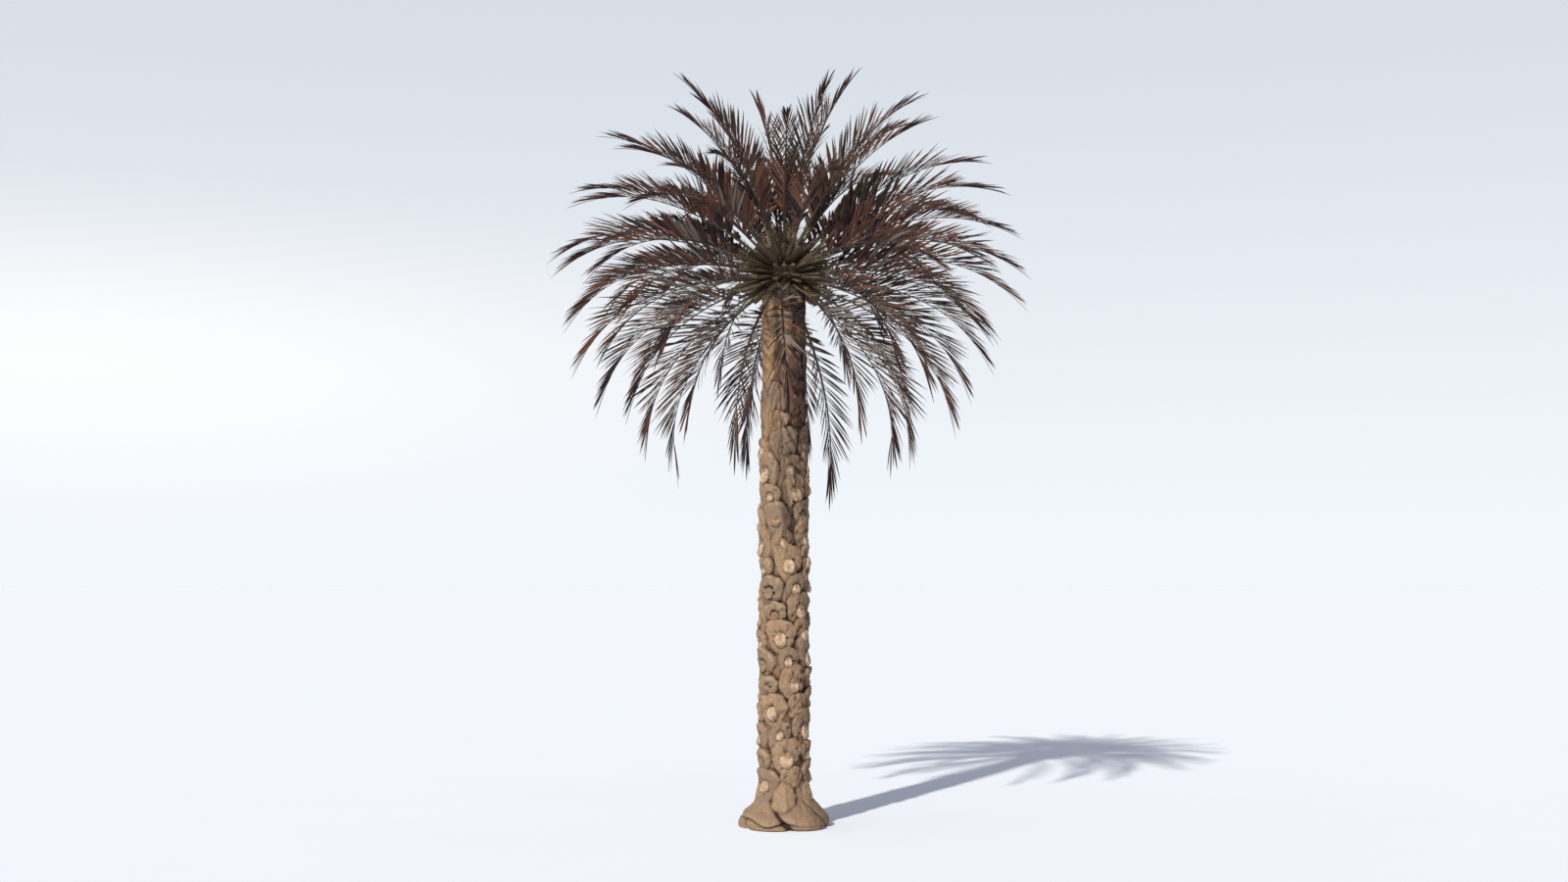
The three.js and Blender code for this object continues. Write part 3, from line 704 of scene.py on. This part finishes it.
# %% Finish for cut stalk wood
def cut_wood_material(name, straw, rim):
    """Sawn palm wood: soft and matt, with pores about 4 mm apart, drawn twice as coarse."""
    material, tree, shader = new_material(name, Roughness=0.8, IOR=1.45, Specular_IOR_Level=0.3)
    place = add_node(tree, "ShaderNodeTexCoord").outputs["Object"]
    pores = add_node(tree, "ShaderNodeTexVoronoi", Vector=place, Scale=125.0).outputs["Distance"]
    stain = add_node(tree, "ShaderNodeTexNoise", Vector=place, Scale=22.0, Detail=4.0).outputs["Fac"]
    mottle = add_node(tree, "ShaderNodeMath", TIMES_PLUS, in_0=pores, in_1=0.35, in_2=stain).outputs[0]
    worn = add_node(tree, "ShaderNodeMapRange", in_0=mottle, in_1=0.48, in_2=0.86).outputs[0]
    colour = add_node(tree, "ShaderNodeMix", COLOURS, in_0=worn, in_6=straw, in_7=rim).outputs[2]
    tree.links.new(colour, shader.inputs["Base Color"])
    bump = add_node(tree, "ShaderNodeBump", Height=mottle, Strength=0.6, Distance=0.006)
    tree.links.new(bump.outputs[0], shader.inputs["Normal"])
    return material


CUT_WOOD = cut_wood_material("sawn_stalk_wood", "cdb397", "8f735b")
OLD_CUT_WOOD = cut_wood_material("weathered_stalk_wood", "a0866c", "655140")
print("cut wood:", CUT_WOOD.name, "and", OLD_CUT_WOOD.name)

# %% [markdown]
# The sawn end is a cone that narrows outwards. Its top edge is bevelled, as weather rounds it, and two insets
# sink a ring in its face. Each copy is made oval, leans up as the leaf did, and has a notch at its top where
# the leaf's channel ran. Every large boot below the flat ones has a stalk, and most of the small ones.

# %% Model the stalk ends
STALK_LENGTH = 0.036
# A broken end stands out by this share of a sawn one's length.
BROKEN_SHARE = 0.45
# A small boot has a stalk if its chance value, from -1 to 1, is above this.
STALKED_ABOVE = -0.8

stalk_shape = bmesh.new()
bmesh.ops.create_cone(stalk_shape, cap_ends=True, segments=16, radius1=1.3, radius2=1, depth=1)
stalk_top = max(stalk_shape.faces, key=lambda face: face.calc_center_median().z)
bmesh.ops.bevel(
    stalk_shape,
    geom=list(stalk_top.edges),
    offset=0.2,
    offset_type="OFFSET",
    affect="EDGES",
    segments=3,
    profile=0.5,
    material=-1,
)
stalk_top = max(stalk_shape.faces, key=lambda face: (face.calc_center_median().z, face.calc_area()))
bmesh.ops.inset_region(stalk_shape, faces=[stalk_top], thickness=0.16, depth=-0.05)
bmesh.ops.inset_region(stalk_shape, faces=[stalk_top], thickness=0.26, depth=0.04)
stalk_template = template_of(stalk_shape)


def placed_stalk(points, boot):
    """A stalk end's points in the middle of its boot, leaning up, with the fold of the leaf at its top."""
    index = boot["index"]
    size = STALK_RADIUS * boot["size"] * (1 + 0.16 * vary(index, 14))
    across = size * points[:, 0] * (1 - 0.12 * points[:, 1])
    up = size * points[:, 1] * (1.18 + 0.14 * vary(index, 15))
    out = STALK_LENGTH * (points[:, 2] + 0.5) * (1 + 0.35 * vary(index, 16))
    out = out * (BROKEN_SHARE if boot["broken"] else 1)
    fold = hump(points[:, 0], 0.2) * smoothstep(points[:, 1], 0, 0.6)
    out = out - 0.016 * fold * (points[:, 2] > 0)
    radius = foot_radius(boot["height"]) + 0.5 * boot["proud"] + out - 0.3 * up - 0.012
    turn = boot["turn"] + 0.05 * vary(index, 17)
    along = np.array([math.cos(turn), math.sin(turn), 0])
    side = np.array([-math.sin(turn), math.cos(turn), 0])
    placed = radius[:, None] * along + across[:, None] * side
    placed[:, 2] = boot["height"] - 0.02 + up + 0.6 * out
    lumps = 0.009 * grain(placed, 0.045) + 0.004 * grain(placed, 0.015)
    return placed + lumps[:, None] * along + 0.4 * lumps[:, None] * side


stalked = [boot for boot in boots if boot["height"] < FLAT_BOOTS_FROM]
stalked = [boot for boot in stalked if not boot["small"] or vary(boot["index"], 19) > STALKED_ABOVE]
for name, material, wanted in (("stalk_ends", CUT_WOOD, False), ("broken_stalk_ends", OLD_CUT_WOOD, True)):
    copies = [placed_stalk(stalk_template[0], boot) for boot in stalked if boot["broken"] == wanted]
    add_piece(name, stalk_template, copies, material)

# %% [markdown]
# ## Ribs
# A frond is a stiff rib that springs straight from the bud and bends more and more towards its tip. The rule
# gives each frond a rise from the spiral, so that the fronds share out the ball of air round the bud. Towards
# the camera the middle fronds part, and the bud shows between them. The rib is a tube whose section is flat
# above and keeled below. It is modelled once as a straight unit tube, and each copy is bent along its line.

# %% The rule of the crown
FROND_COUNT = 80
FROND_LENGTH = 2.81
FROND_DROOP_DEG = 53
LOWEST_FROND_DEG = -48
HIGHEST_FROND_DEG = 87
CROWN_FULLNESS = 0.73
FIRST_AZIMUTH_DEG = 58
PARTING_AZIMUTH_DEG = -90
PARTING_HALF_WIDTH_DEG = 32
PARTING_LOW_DEG = -10
PARTING_HIGH_DEG = 30
PARTING_EDGE_DEG = 8
LEAFY_FROM = 0.27
RIB_STEPS = 48
# The youngest fronds are still stiff and short: this much less droop and less length.
YOUNG_STIFFNESS = 0.55
YOUNG_SHORTNESS = 0.13


def parted(azimuth, rise):
    """The azimuth in radians, turned away from the parting if the frond's rise is within it."""
    away = (azimuth - PARTING_AZIMUTH_DEG + 180) % 360 - 180
    above = np.clip((rise - PARTING_LOW_DEG) / PARTING_EDGE_DEG, 0, 1)
    below = np.clip((PARTING_HIGH_DEG - rise) / PARTING_EDGE_DEG, 0, 1)
    squeezed = abs(away) * (1 - PARTING_HALF_WIDTH_DEG / 180)
    moved = math.copysign(PARTING_HALF_WIDTH_DEG + squeezed, away)
    return math.radians(PARTING_AZIMUTH_DEG + lerp(away, moved, above * below))


def frond_plan(index):
    """One frond's angles in radians and its rib's length, from the oldest, which hang, to the youngest.

    Every trait scatters a little from frond to frond, since even growth would look made.
    """
    age = (index + 0.5) / FROND_COUNT
    low, high = math.sin(math.radians(LOWEST_FROND_DEG)), math.sin(math.radians(HIGHEST_FROND_DEG))
    rise = math.asin(lerp(low, high, age**CROWN_FULLNESS))
    young = age**6
    return {
        "index": index,
        "rise": rise + math.radians(3.2 * vary(index, 8)),
        "azimuth": parted(FIRST_AZIMUTH_DEG + GOLDEN_ANGLE_DEG * index, math.degrees(rise)),
        "curl": math.radians(12 * vary(index, 6)),
        "roll": math.radians(20 * vary(index, 10)),
        "droop": math.radians(FROND_DROOP_DEG * (1 + 0.11 * vary(index, 3)) * (1 - YOUNG_STIFFNESS * young)),
        "length": FROND_LENGTH * (1 + 0.045 * vary(index, 25)) * (1 - YOUNG_SHORTNESS * young),
    }


def rib_frames(plan, shares):
    """The rib's point, and its ways along, left and up, at each share of its length, as four arrays."""

    def along_at(share):
        pitch = plan["rise"] - plan["droop"] * share**2
        heading = plan["azimuth"] + plan["curl"] * share**2
        level = np.cos(pitch)
        return np.stack([level * np.cos(heading), level * np.sin(heading), np.sin(pitch)], axis=1)

    knots = np.linspace(0, 1, RIB_STEPS + 1)
    walked = np.cumsum(along_at((knots[:-1] + knots[1:]) / 2), axis=0) * plan["length"] / RIB_STEPS
    line = np.vstack([np.zeros(3), walked]) + [0, 0, BUD_HEIGHT]
    point = np.stack([np.interp(shares, knots, line[:, axis]) for axis in range(3)], axis=1)
    along = along_at(shares)
    left = np.stack([-along[:, 1], along[:, 0], np.zeros(len(shares))], axis=1)
    left /= np.linalg.norm(left, axis=1)[:, None]
    turned = plan["roll"] * shares[:, None]
    left = np.cos(turned) * left + np.sin(turned) * np.cross(along, left)
    return point, along, left, np.cross(along, left)


plans = [frond_plan(index) for index in range(FROND_COUNT)]
print(FROND_COUNT, "fronds rise from", round(math.degrees(plans[0]["rise"])), "to",
      round(math.degrees(plans[-1]["rise"])), "degrees")

# %% [markdown]
# A dry stalk is olive-brown and slightly waxy at its base, and browns out along the leafy part. The two are
# separate pieces, so each has its own two close colours, mixed by a fine noise that also roughens the skin.

# %% Finishes for stalk and rib
def stalk_material(name, colour, groove):
    """Smooth plant skin with a soft sheen, in two tones that change every 20 mm or so."""
    material, tree, shader = new_material(name, Roughness=0.55, IOR=1.45, Specular_IOR_Level=0.4)
    place = add_node(tree, "ShaderNodeTexCoord").outputs["Object"]
    streaks = add_node(tree, "ShaderNodeTexNoise", Vector=place, Scale=45.0, Detail=3.0).outputs["Fac"]
    streaked = add_node(tree, "ShaderNodeMix", COLOURS, in_0=streaks, in_6=colour, in_7=groove)
    tree.links.new(streaked.outputs[2], shader.inputs["Base Color"])
    bump = add_node(tree, "ShaderNodeBump", Height=streaks, Strength=0.4, Distance=0.003)
    tree.links.new(bump.outputs[0], shader.inputs["Normal"])
    return material


STALK_SKIN = stalk_material("waxy_leaf_stalk", "6a5c43", "41372a")
RIB_SKIN = stalk_material("dry_leaf_rib", "4d4138", "372c27")
print("stalk materials:", STALK_SKIN.name, "and", RIB_SKIN.name)

# %% [markdown]
# One straight tube of rings, flat above and keeled below, does for both pieces. Each ring of a copy is moved
# to the rib's line, turned to its frame and scaled to its width there: broad where the stalk clasps the bud,
# and a few millimetres at the tip.

# %% Model the stalks and ribs
# How thick the section is above and below its widest line, in shares of its half thickness.
SHARE_ABOVE = 0.55
SHARE_BELOW = 1.2
# Half the rib's width and half its thickness, where the leaflets begin and at the tip.
RIB_HALF_WIDTHS = (0.021, 0.004)
RIB_HALF_DEPTHS = (0.013, 0.003)
# The clasping base is so much wider and thicker, over the part of the length before it narrows.
BASE_WIDER = 0.042
BASE_THICKER = 0.012
BASE_NARROWS = (0.15, 0.235)
# A stalk starts inside the heart, and ends so far inside its rib.
STALK_FROM = 0.03
STALK_OVERLAP = 0.02


def keeled_tube(sides, cuts):
    """A closed tube from z = 0 to 1 whose section is flat above, in +y, and keeled below."""
    tube = ringed_cone(sides, cuts, 0)
    for vert in tube.verts:
        vert.co.y *= SHARE_ABOVE if vert.co.y > 0 else SHARE_BELOW
    return template_of(tube)


def rib_halves(share):
    """The rib's half width and half thickness in metres, broad where it clasps the bud."""
    base = 1 - smoothstep(share, *BASE_NARROWS)
    leafy = np.clip((share - LEAFY_FROM) / (1 - LEAFY_FROM), 0, 1)
    wide = lerp(*RIB_HALF_WIDTHS, leafy) + BASE_WIDER * base
    return wide, lerp(*RIB_HALF_DEPTHS, leafy) + BASE_THICKER * base


def bent_rib(points, plan, start, end):
    share = lerp(start, end, points[:, 2])
    point, along, left, up = rib_frames(plan, share)
    wide, thick = rib_halves(share)
    # x runs to the right of the rib, so that x, y and the way along make a right-handed set.
    return point - (wide * points[:, 0])[:, None] * left + (thick * points[:, 1])[:, None] * up


stalk_tube = keeled_tube(8, 9)
rib_tube = keeled_tube(6, 15)
stalks = [bent_rib(stalk_tube[0], plan, STALK_FROM, LEAFY_FROM + STALK_OVERLAP) for plan in plans]
ribs = [bent_rib(rib_tube[0], plan, LEAFY_FROM, 1) for plan in plans]
add_piece("leaf_stalks", stalk_tube, stalks, STALK_SKIN)
rib_piece = add_piece("leaf_ribs", rib_tube, ribs, RIB_SKIN)
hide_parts(*FROND_NODES)

# %% [markdown]
# ## Leaflets
# A leaflet is a stiff, narrow blade folded into a gutter, widest a little past its middle and drawn out to a
# point. The template is a four-sided tube: two edges and the two faces of the fold, closed at the root and
# merged to a point at the tip. Leaflets spring from the rib in threes that fan out of one plane, which gives
# a date palm its feathery, ruffled look. They point well forward, more so towards the tip, where the last
# few make a pointed tuft. The first few after the stalk are short, half way to being spines.

# %% Model one leaflet
LEAFLET_RING_WIDTHS = [0.3, 0.5, 0.74, 0.94, 1.0, 0.82, 0.5, 0.0]


def pointed(shape):
    """The template of a shape from z = 0 to 1 whose top is drawn to a point."""
    top = [vert for vert in shape.verts if vert.co.z > 0.99]
    bmesh.ops.pointmerge(shape, verts=top, merge_co=(0, 0, 1))
    return template_of(shape)


leaflet_template = pointed(ringed_cone(4, len(LEAFLET_RING_WIDTHS) - 2, 0))
print("a leaflet has", len(leaflet_template[2]), "faces")

# %% [markdown]
# The rule for a leaflet's way and length is the one that cut the solid frond's outline, carried to many more
# leaflets. Every leaflet gets a direction, a width direction and a sag. One array operation then bends all
# the copies of the template at once.

# %% Grow the leaflets
LEAFLETS_A_SIDE = 45
LEAFLET_LENGTH = 0.56
TERMINAL_LEAFLET = 0.46
LEAFLET_SAG = 0.11
LEAFLET_FORWARD_DEG = [55, 14]
LEAFLET_LIFT_DEG = [54, 38]
LEAFLET_HALF_WIDTH = 0.0112
# Leaflets near the stalk are broader than those further out, and most of all on lush fronds. These are
# shares of the width: near the stalk on the oldest fronds and on lush ones, and further out.
BROAD_OLD, BROAD_LUSH, NARROW = 1.0, 2.3, 0.68
# The first leaflets after the stalk are little longer than spines: this share of their full length.
SHORTEST_AT_STALK = 0.2
LEAFLET_FOLD = 0.42
LEAFLET_HALF_THICKNESS = 0.0014
# The last leaflets press forward into a tuft, and those just before it are short.
TUFT_FROM = 0.8
TUFT_FORWARD_DEG = 9
FAN_LIFTS_DEG = [-12, 2, 14]
# How far single leaflets stray from the rule: standard deviations, the last one in radians.
FORWARD_STRAY_DEG = 3
LIFT_STRAY_DEG = 4
TWIST_STRAY = 0.45
# The outer two leaflets of each three stand this far from the middle one, where even spacing would be 1.
CLUSTER_SPREAD = 0.672

dice = np.random.default_rng(11)


def normalised(vectors):
    return vectors / np.linalg.norm(vectors, axis=1)[:, None]


def side_leaflets(plan, side):
    """The roots, ways, width ways, lengths and cluster numbers of one side's leaflets."""
    number = np.arange(LEAFLETS_A_SIDE)
    cluster = number // 3
    spread = (number % 3 - 1) * CLUSTER_SPREAD
    part = np.clip((cluster * 3 + 1 + spread + 0.3) / LEAFLETS_A_SIDE, 0, 0.995)
    share = lerp(LEAFY_FROM, 1, part)
    root, along, left, up = rib_frames(plan, share)
    tuft = smoothstep(part, TUFT_FROM - 0.05, TUFT_FROM + 0.05)
    forward = lerp(lerp(*LEAFLET_FORWARD_DEG, part), TUFT_FORWARD_DEG, tuft)
    forward = np.radians(forward + dice.normal(0, FORWARD_STRAY_DEG, len(part)) * (1 - 0.5 * tuft))
    fan = np.take(FAN_LIFTS_DEG, (number + plan["index"]) % 3) * lerp(1.0, 0.6, part)
    lift = lerp(*LEAFLET_LIFT_DEG, part) + fan + dice.normal(0, LIFT_STRAY_DEG, len(part))
    lift = np.radians(lift)
    way = (
        along * np.cos(forward)[:, None]
        + left * (side * np.sin(forward) * np.cos(lift))[:, None]
        + up * (np.sin(forward) * np.sin(lift))[:, None]
    )
    reach = LEAFLET_LENGTH * (lerp(0.5, 0.8, part) + 0.45 * np.sin(math.pi * part))
    reach *= 1 - 0.28 * hump(part - TUFT_FROM + 0.03, 0.05)
    reach *= lerp(SHORTEST_AT_STALK, 1, smoothstep(part, -0.02, 0.16))
    length = reach * dice.uniform(0.82, 1.0, len(part))
    width_way = normalised(along - way * np.sum(along * way, axis=1)[:, None])
    twist = dice.normal(0, TWIST_STRAY, len(part))[:, None]
    width_way = np.cos(twist) * width_way + np.sin(twist) * np.cross(way, width_way)
    facing = np.sum(np.cross(way, width_way) * up, axis=1)
    width_way = np.where(facing[:, None] < 0, -width_way, width_way)
    # Fronds of middle age are lush. The oldest have shrunk, and the youngest have not filled out.
    age = plan["index"] / FROND_COUNT
    lush = smoothstep(age, 0.3, 0.6) * (1 - smoothstep(age, 0.88, 0.96))
    broad = lerp(BROAD_OLD, BROAD_LUSH, lush)
    breadth = LEAFLET_HALF_WIDTH * lerp(broad, NARROW, smoothstep(part, 0.2, 0.52))
    return root, way, width_way, length, breadth, cluster


def bent_leaflets(root, way, width_way, length, breadth, sag):
    """The points of every leaflet: copies by template points by three."""
    across, over, share = leaflet_template[0].T
    width = np.interp(share, np.linspace(0, 1, len(LEAFLET_RING_WIDTHS)), LEAFLET_RING_WIDTHS)
    face_way = np.cross(way, width_way)
    half = (breadth * (0.75 + 0.45 * length / LEAFLET_LENGTH))[:, None]
    sideways = half * across * width
    outwards = half * LEAFLET_FOLD * np.abs(across) * width
    outwards = outwards + LEAFLET_HALF_THICKNESS * over * np.sqrt(width)
    bent = root[:, None, :] + (length[:, None] * share)[:, :, None] * way[:, None, :]
    bent = bent + sideways[:, :, None] * width_way[:, None, :] + outwards[:, :, None] * face_way[:, None, :]
    bent[:, :, 2] -= (sag * length)[:, None] * share**2
    return bent


grown = []
for plan in plans:
    for side in (1, -1):
        root, way, width_way, length, breadth, cluster = side_leaflets(plan, side)
        sag = LEAFLET_SAG * dice.uniform(0.5, 1.3, len(length))
        copies = bent_leaflets(root, way, width_way, length, breadth, sag)
        grown.append((plan["index"], cluster, copies))
    root, along, left, up = rib_frames(plan, np.array([1.0]))
    # One more leaflet ends the rib. Its length, width and sag are each a list of one number.
    ends = [np.array([value]) for value in (TERMINAL_LEAFLET, LEAFLET_HALF_WIDTH, LEAFLET_SAG)]
    last = bent_leaflets(root, along, left, *ends)
    grown.append((plan["index"], np.array([LEAFLETS_A_SIDE // 3]), last))
print(sum(len(copies) for *_, copies in grown), "leaflets in all")

# %% [markdown]
# ## Leaflet colours
# Dry and half-dry leaflets differ by cluster: maroon-brown, umber, plum-black where shaded for years, grey
# where the wax shows, russet, and a few still olive. Each colour is a plain material of its own, and every
# cluster of leaflets is dealt to one of them. Plant wax gives a faint sheen, so the roughness is middling.

# %% Deal the leaflets to their colours
LEAFLET_COLOURS = {
    "maroon": "583a30",
    "umber": "46362d",
    "plum": "302426",
    "ash": "7a716b",
    "olive": "544a35",
    "russet": "6b4838",
}
# The share of each colour in the oldest fronds, in the youngest, and in the tufts at the tips.
OLD_SHARES = np.array([0.16, 0.22, 0.24, 0.28, 0.03, 0.07])
YOUNG_SHARES = np.array([0.36, 0.22, 0.14, 0.02, 0.05, 0.21])
TUFT_SHARES = np.array([0.42, 0.10, 0.42, 0.0, 0.0, 0.06])
# A frond's youth rises with its number, and is full from four fifths of the way on.
YOUTH_PACE = 1.25
# How far a frond's favourite colour is raised over its usual share.
FAVOUR = 0.35


def leaflet_material(name, hex_colour):
    """Half-dry leaf skin: one plain colour, a waxy sheen, and veins that run as fine bumps."""
    material, tree, shader = new_material(
        name, Roughness=0.58, IOR=1.45, Specular_IOR_Level=0.25, Base_Color=linear(hex_colour)
    )
    place = add_node(tree, "ShaderNodeTexCoord").outputs["Object"]
    # Veins are under 1 mm apart, and are drawn 6 mm apart.
    veins = add_node(tree, "ShaderNodeTexNoise", Vector=place, Scale=160.0, Detail=2.0).outputs["Fac"]
    bump = add_node(tree, "ShaderNodeBump", Height=veins, Strength=0.35, Distance=0.002)
    tree.links.new(bump.outputs[0], shader.inputs["Normal"])
    return material


dealt = {name: [] for name in LEAFLET_COLOURS}
for index, cluster, copies in grown:
    youth = min(1, YOUTH_PACE * index / FROND_COUNT)
    shares = lerp(OLD_SHARES, YOUNG_SHARES, youth)
    # A frond leans to one colour, so that neighbours stand apart from each other.
    favourite = int((vary(index, 31) * 0.5 + 0.5) * len(shares)) % len(shares)
    shares = shares + FAVOUR * (np.arange(len(shares)) == favourite) * shares / shares.max()
    clusters = LEAFLETS_A_SIDE // 3 + 1
    draws = dice.random(clusters)
    colour_of = np.searchsorted(np.cumsum(shares / shares.sum()), draws).clip(0, len(shares) - 1)
    tuft_colour = np.searchsorted(np.cumsum(TUFT_SHARES), draws).clip(0, len(shares) - 1)
    in_tuft = np.arange(clusters) * 3 / LEAFLETS_A_SIDE > TUFT_FROM - 0.02
    colour_of = np.where(in_tuft, tuft_colour, colour_of)
    for number, name in enumerate(dealt):
        dealt[name].append(copies[colour_of[cluster] == number])

for name, hex_colour in LEAFLET_COLOURS.items():
    material = leaflet_material("leaflet_skin_" + name, hex_colour)
    copies = np.concatenate(dealt[name])
    add_piece("leaflets_" + name, leaflet_template, copies, material, smooth=False)

# %% [markdown]
# ## Spines
# The lowest leaflets of a date palm harden into spines along the stalk, pale at the root and dark at the
# point. They are short three-sided cones that stand out and forward, in the dry straw of the cut wood.

# %% Set the spines along the stalks
SPINES_A_SIDE = 7
SPINE_LENGTH = 0.11
SPINE_RADIUS = 0.0045
SPINES_FROM = 0.14

spine_shape = bmesh.new()
bmesh.ops.create_cone(spine_shape, cap_ends=True, segments=3, radius1=1, radius2=1, depth=1)
bmesh.ops.translate(spine_shape, verts=spine_shape.verts, vec=(0, 0, 0.5))
spine_template = pointed(spine_shape)


def placed_spines(plan, side):
    part = (np.arange(SPINES_A_SIDE) + 0.5) / SPINES_A_SIDE
    share = lerp(SPINES_FROM, LEAFY_FROM, part)
    root, along, left, up = rib_frames(plan, share)
    lean = np.radians(dice.uniform(35, 60, SPINES_A_SIDE))[:, None]
    way = normalised(along * np.cos(lean) + (side * left * 0.9 + up * 0.5) * np.sin(lean))
    first = normalised(np.cross(way, up))
    second = np.cross(way, first)
    root = root + side * left * (0.8 * rib_halves(share)[0])[:, None]
    length = SPINE_LENGTH * lerp(0.5, 1.3, part) * dice.uniform(0.8, 1.1, SPINES_A_SIDE)
    x, y, z = spine_template[0].T
    return (
        root[:, None, :]
        + SPINE_RADIUS * (x[None, :, None] * first[:, None, :] + y[None, :, None] * second[:, None, :])
        + (length[:, None] * z)[:, :, None] * way[:, None, :]
    )


spines = np.concatenate([placed_spines(plan, side) for plan in plans for side in (1, -1)])
add_piece("spines", spine_template, spines, CUT_WOOD, smooth=False)

# %% [markdown]
# ## Heart of the crown
# Where the stalks meet, their bases pack into a low dome wrapped in brown fibre. A ball squashed to a dome
# and roughened makes the fibre. In the parting stand the stubs of fronds that are gone: a row of three that
# were sawn off and show their wood, and four that have withered dark, two below them and two above.

# %% Model the heart and the sawn stalks
HEART_RADIUS = 0.285
HEART_RISE = 0.30
SAWN_RISE_DEG = 14
WITHERED_RISES_DEG = [-10, 27]
CUT_STALK_SPACING_DEG = 18
CUT_STALK_LENGTH = 0.11
CUT_STALK_WIDTH = 0.076

HEART_FIBRE = bark_material("leaf_sheath_fibre", "4a3f2e", "63543f", "553c29", "4a4437", "261f18")

heart_shape = bmesh.new()
bmesh.ops.create_uvsphere(heart_shape, u_segments=64, v_segments=40, radius=1)
heart_template = template_of(heart_shape)
heart_points = heart_template[0] * [HEART_RADIUS, HEART_RADIUS, HEART_RISE]
heart_points[:, 2] = np.maximum(heart_points[:, 2], -0.25 * HEART_RISE) + BUD_HEIGHT
outward = normalised(heart_points - [0, 0, BUD_HEIGHT])
heart_points += (0.012 * grain(heart_points, (0.03, 0.03, 0.09)))[:, None] * outward
numbers = {"depth": 0.2 + 0.8 * grain(heart_points, 0.05)}
heart = add_piece("crown_dome", heart_template, [heart_points], HEART_FIBRE, numbers=numbers)
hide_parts("crown_heart")


def short_stalk(rise_deg, azimuth_deg, start, end, half_width, half_height):
    """A stub along a line from the bud, from one distance to another."""
    points = stalk_template[0]
    rise, azimuth = math.radians(rise_deg), math.radians(azimuth_deg)
    along = np.array([math.cos(rise) * math.cos(azimuth), math.cos(rise) * math.sin(azimuth), math.sin(rise)])
    right = np.array([math.sin(azimuth), -math.cos(azimuth), 0])
    up = np.cross(right, along)
    out = lerp(start, end, points[:, 2] + 0.5)
    placed = out[:, None] * along + half_width * points[:, 0:1] * right + half_height * points[:, 1:2] * up
    placed[:, 2] += BUD_HEIGHT
    return placed + 0.004 * grain(placed, 0.03)[:, None] * up


def parting_stalk(rise_deg, step):
    """A stub in the parting, so many steps to the right of its middle."""
    azimuth_deg = PARTING_AZIMUTH_DEG + CUT_STALK_SPACING_DEG * step
    reach = (0.6 * HEART_RADIUS, HEART_RADIUS + CUT_STALK_LENGTH)
    return short_stalk(rise_deg, azimuth_deg, *reach, 0.36 * CUT_STALK_WIDTH, 0.25 * CUT_STALK_WIDTH)


sawn = [parting_stalk(SAWN_RISE_DEG, step) for step in (-1, 0, 1)]
withered = [parting_stalk(rise_deg, step) for rise_deg in WITHERED_RISES_DEG for step in (-0.5, 0.5)]
add_piece("sawn_stalks", stalk_template, sawn, OLD_CUT_WOOD)
add_piece("withered_stalks", stalk_template, withered, RIB_SKIN)

# %% [markdown]
# Between the living stalks are packed the stubs of older ones, which hide the sky behind the bud. They stand
# on a spiral of their own, turned away from the parting by the same rule as the fronds. Those high on the
# bud are shorter, so that they stay under the leaves.

# %% Pack old stalk stubs between the living stalks
STUB_COUNT = 150
STUB_LOW_DEG = -40
STUB_HIGH_DEG = 72
STUB_FIRST_AZIMUTH_DEG = 20
STUB_START = 0.15
# A stub ends this far from the bud's middle: a low one, and one on top. The change lies between two rises.
STUB_ENDS = (0.6, 0.47)
STUB_SHORTENING_DEG = (20, 60)
STUB_HALF_WIDTH = 0.036
STUB_HALF_HEIGHT = 0.018

stubs = []
for index in range(STUB_COUNT):
    low, high = math.sin(math.radians(STUB_LOW_DEG)), math.sin(math.radians(STUB_HIGH_DEG))
    rise_deg = math.degrees(math.asin(lerp(low, high, (index + 0.5) / STUB_COUNT)))
    end = lerp(*STUB_ENDS, smoothstep(rise_deg, *STUB_SHORTENING_DEG)) + 0.08 * vary(index, 40)
    azimuth_deg = math.degrees(parted(STUB_FIRST_AZIMUTH_DEG + GOLDEN_ANGLE_DEG * index, rise_deg))
    half_width = STUB_HALF_WIDTH + 0.008 * vary(index, 41)
    stubs.append(short_stalk(rise_deg, azimuth_deg, STUB_START, end, half_width, STUB_HALF_HEIGHT))
add_piece("stalk_stubs", stalk_template, stubs, STALK_SKIN)
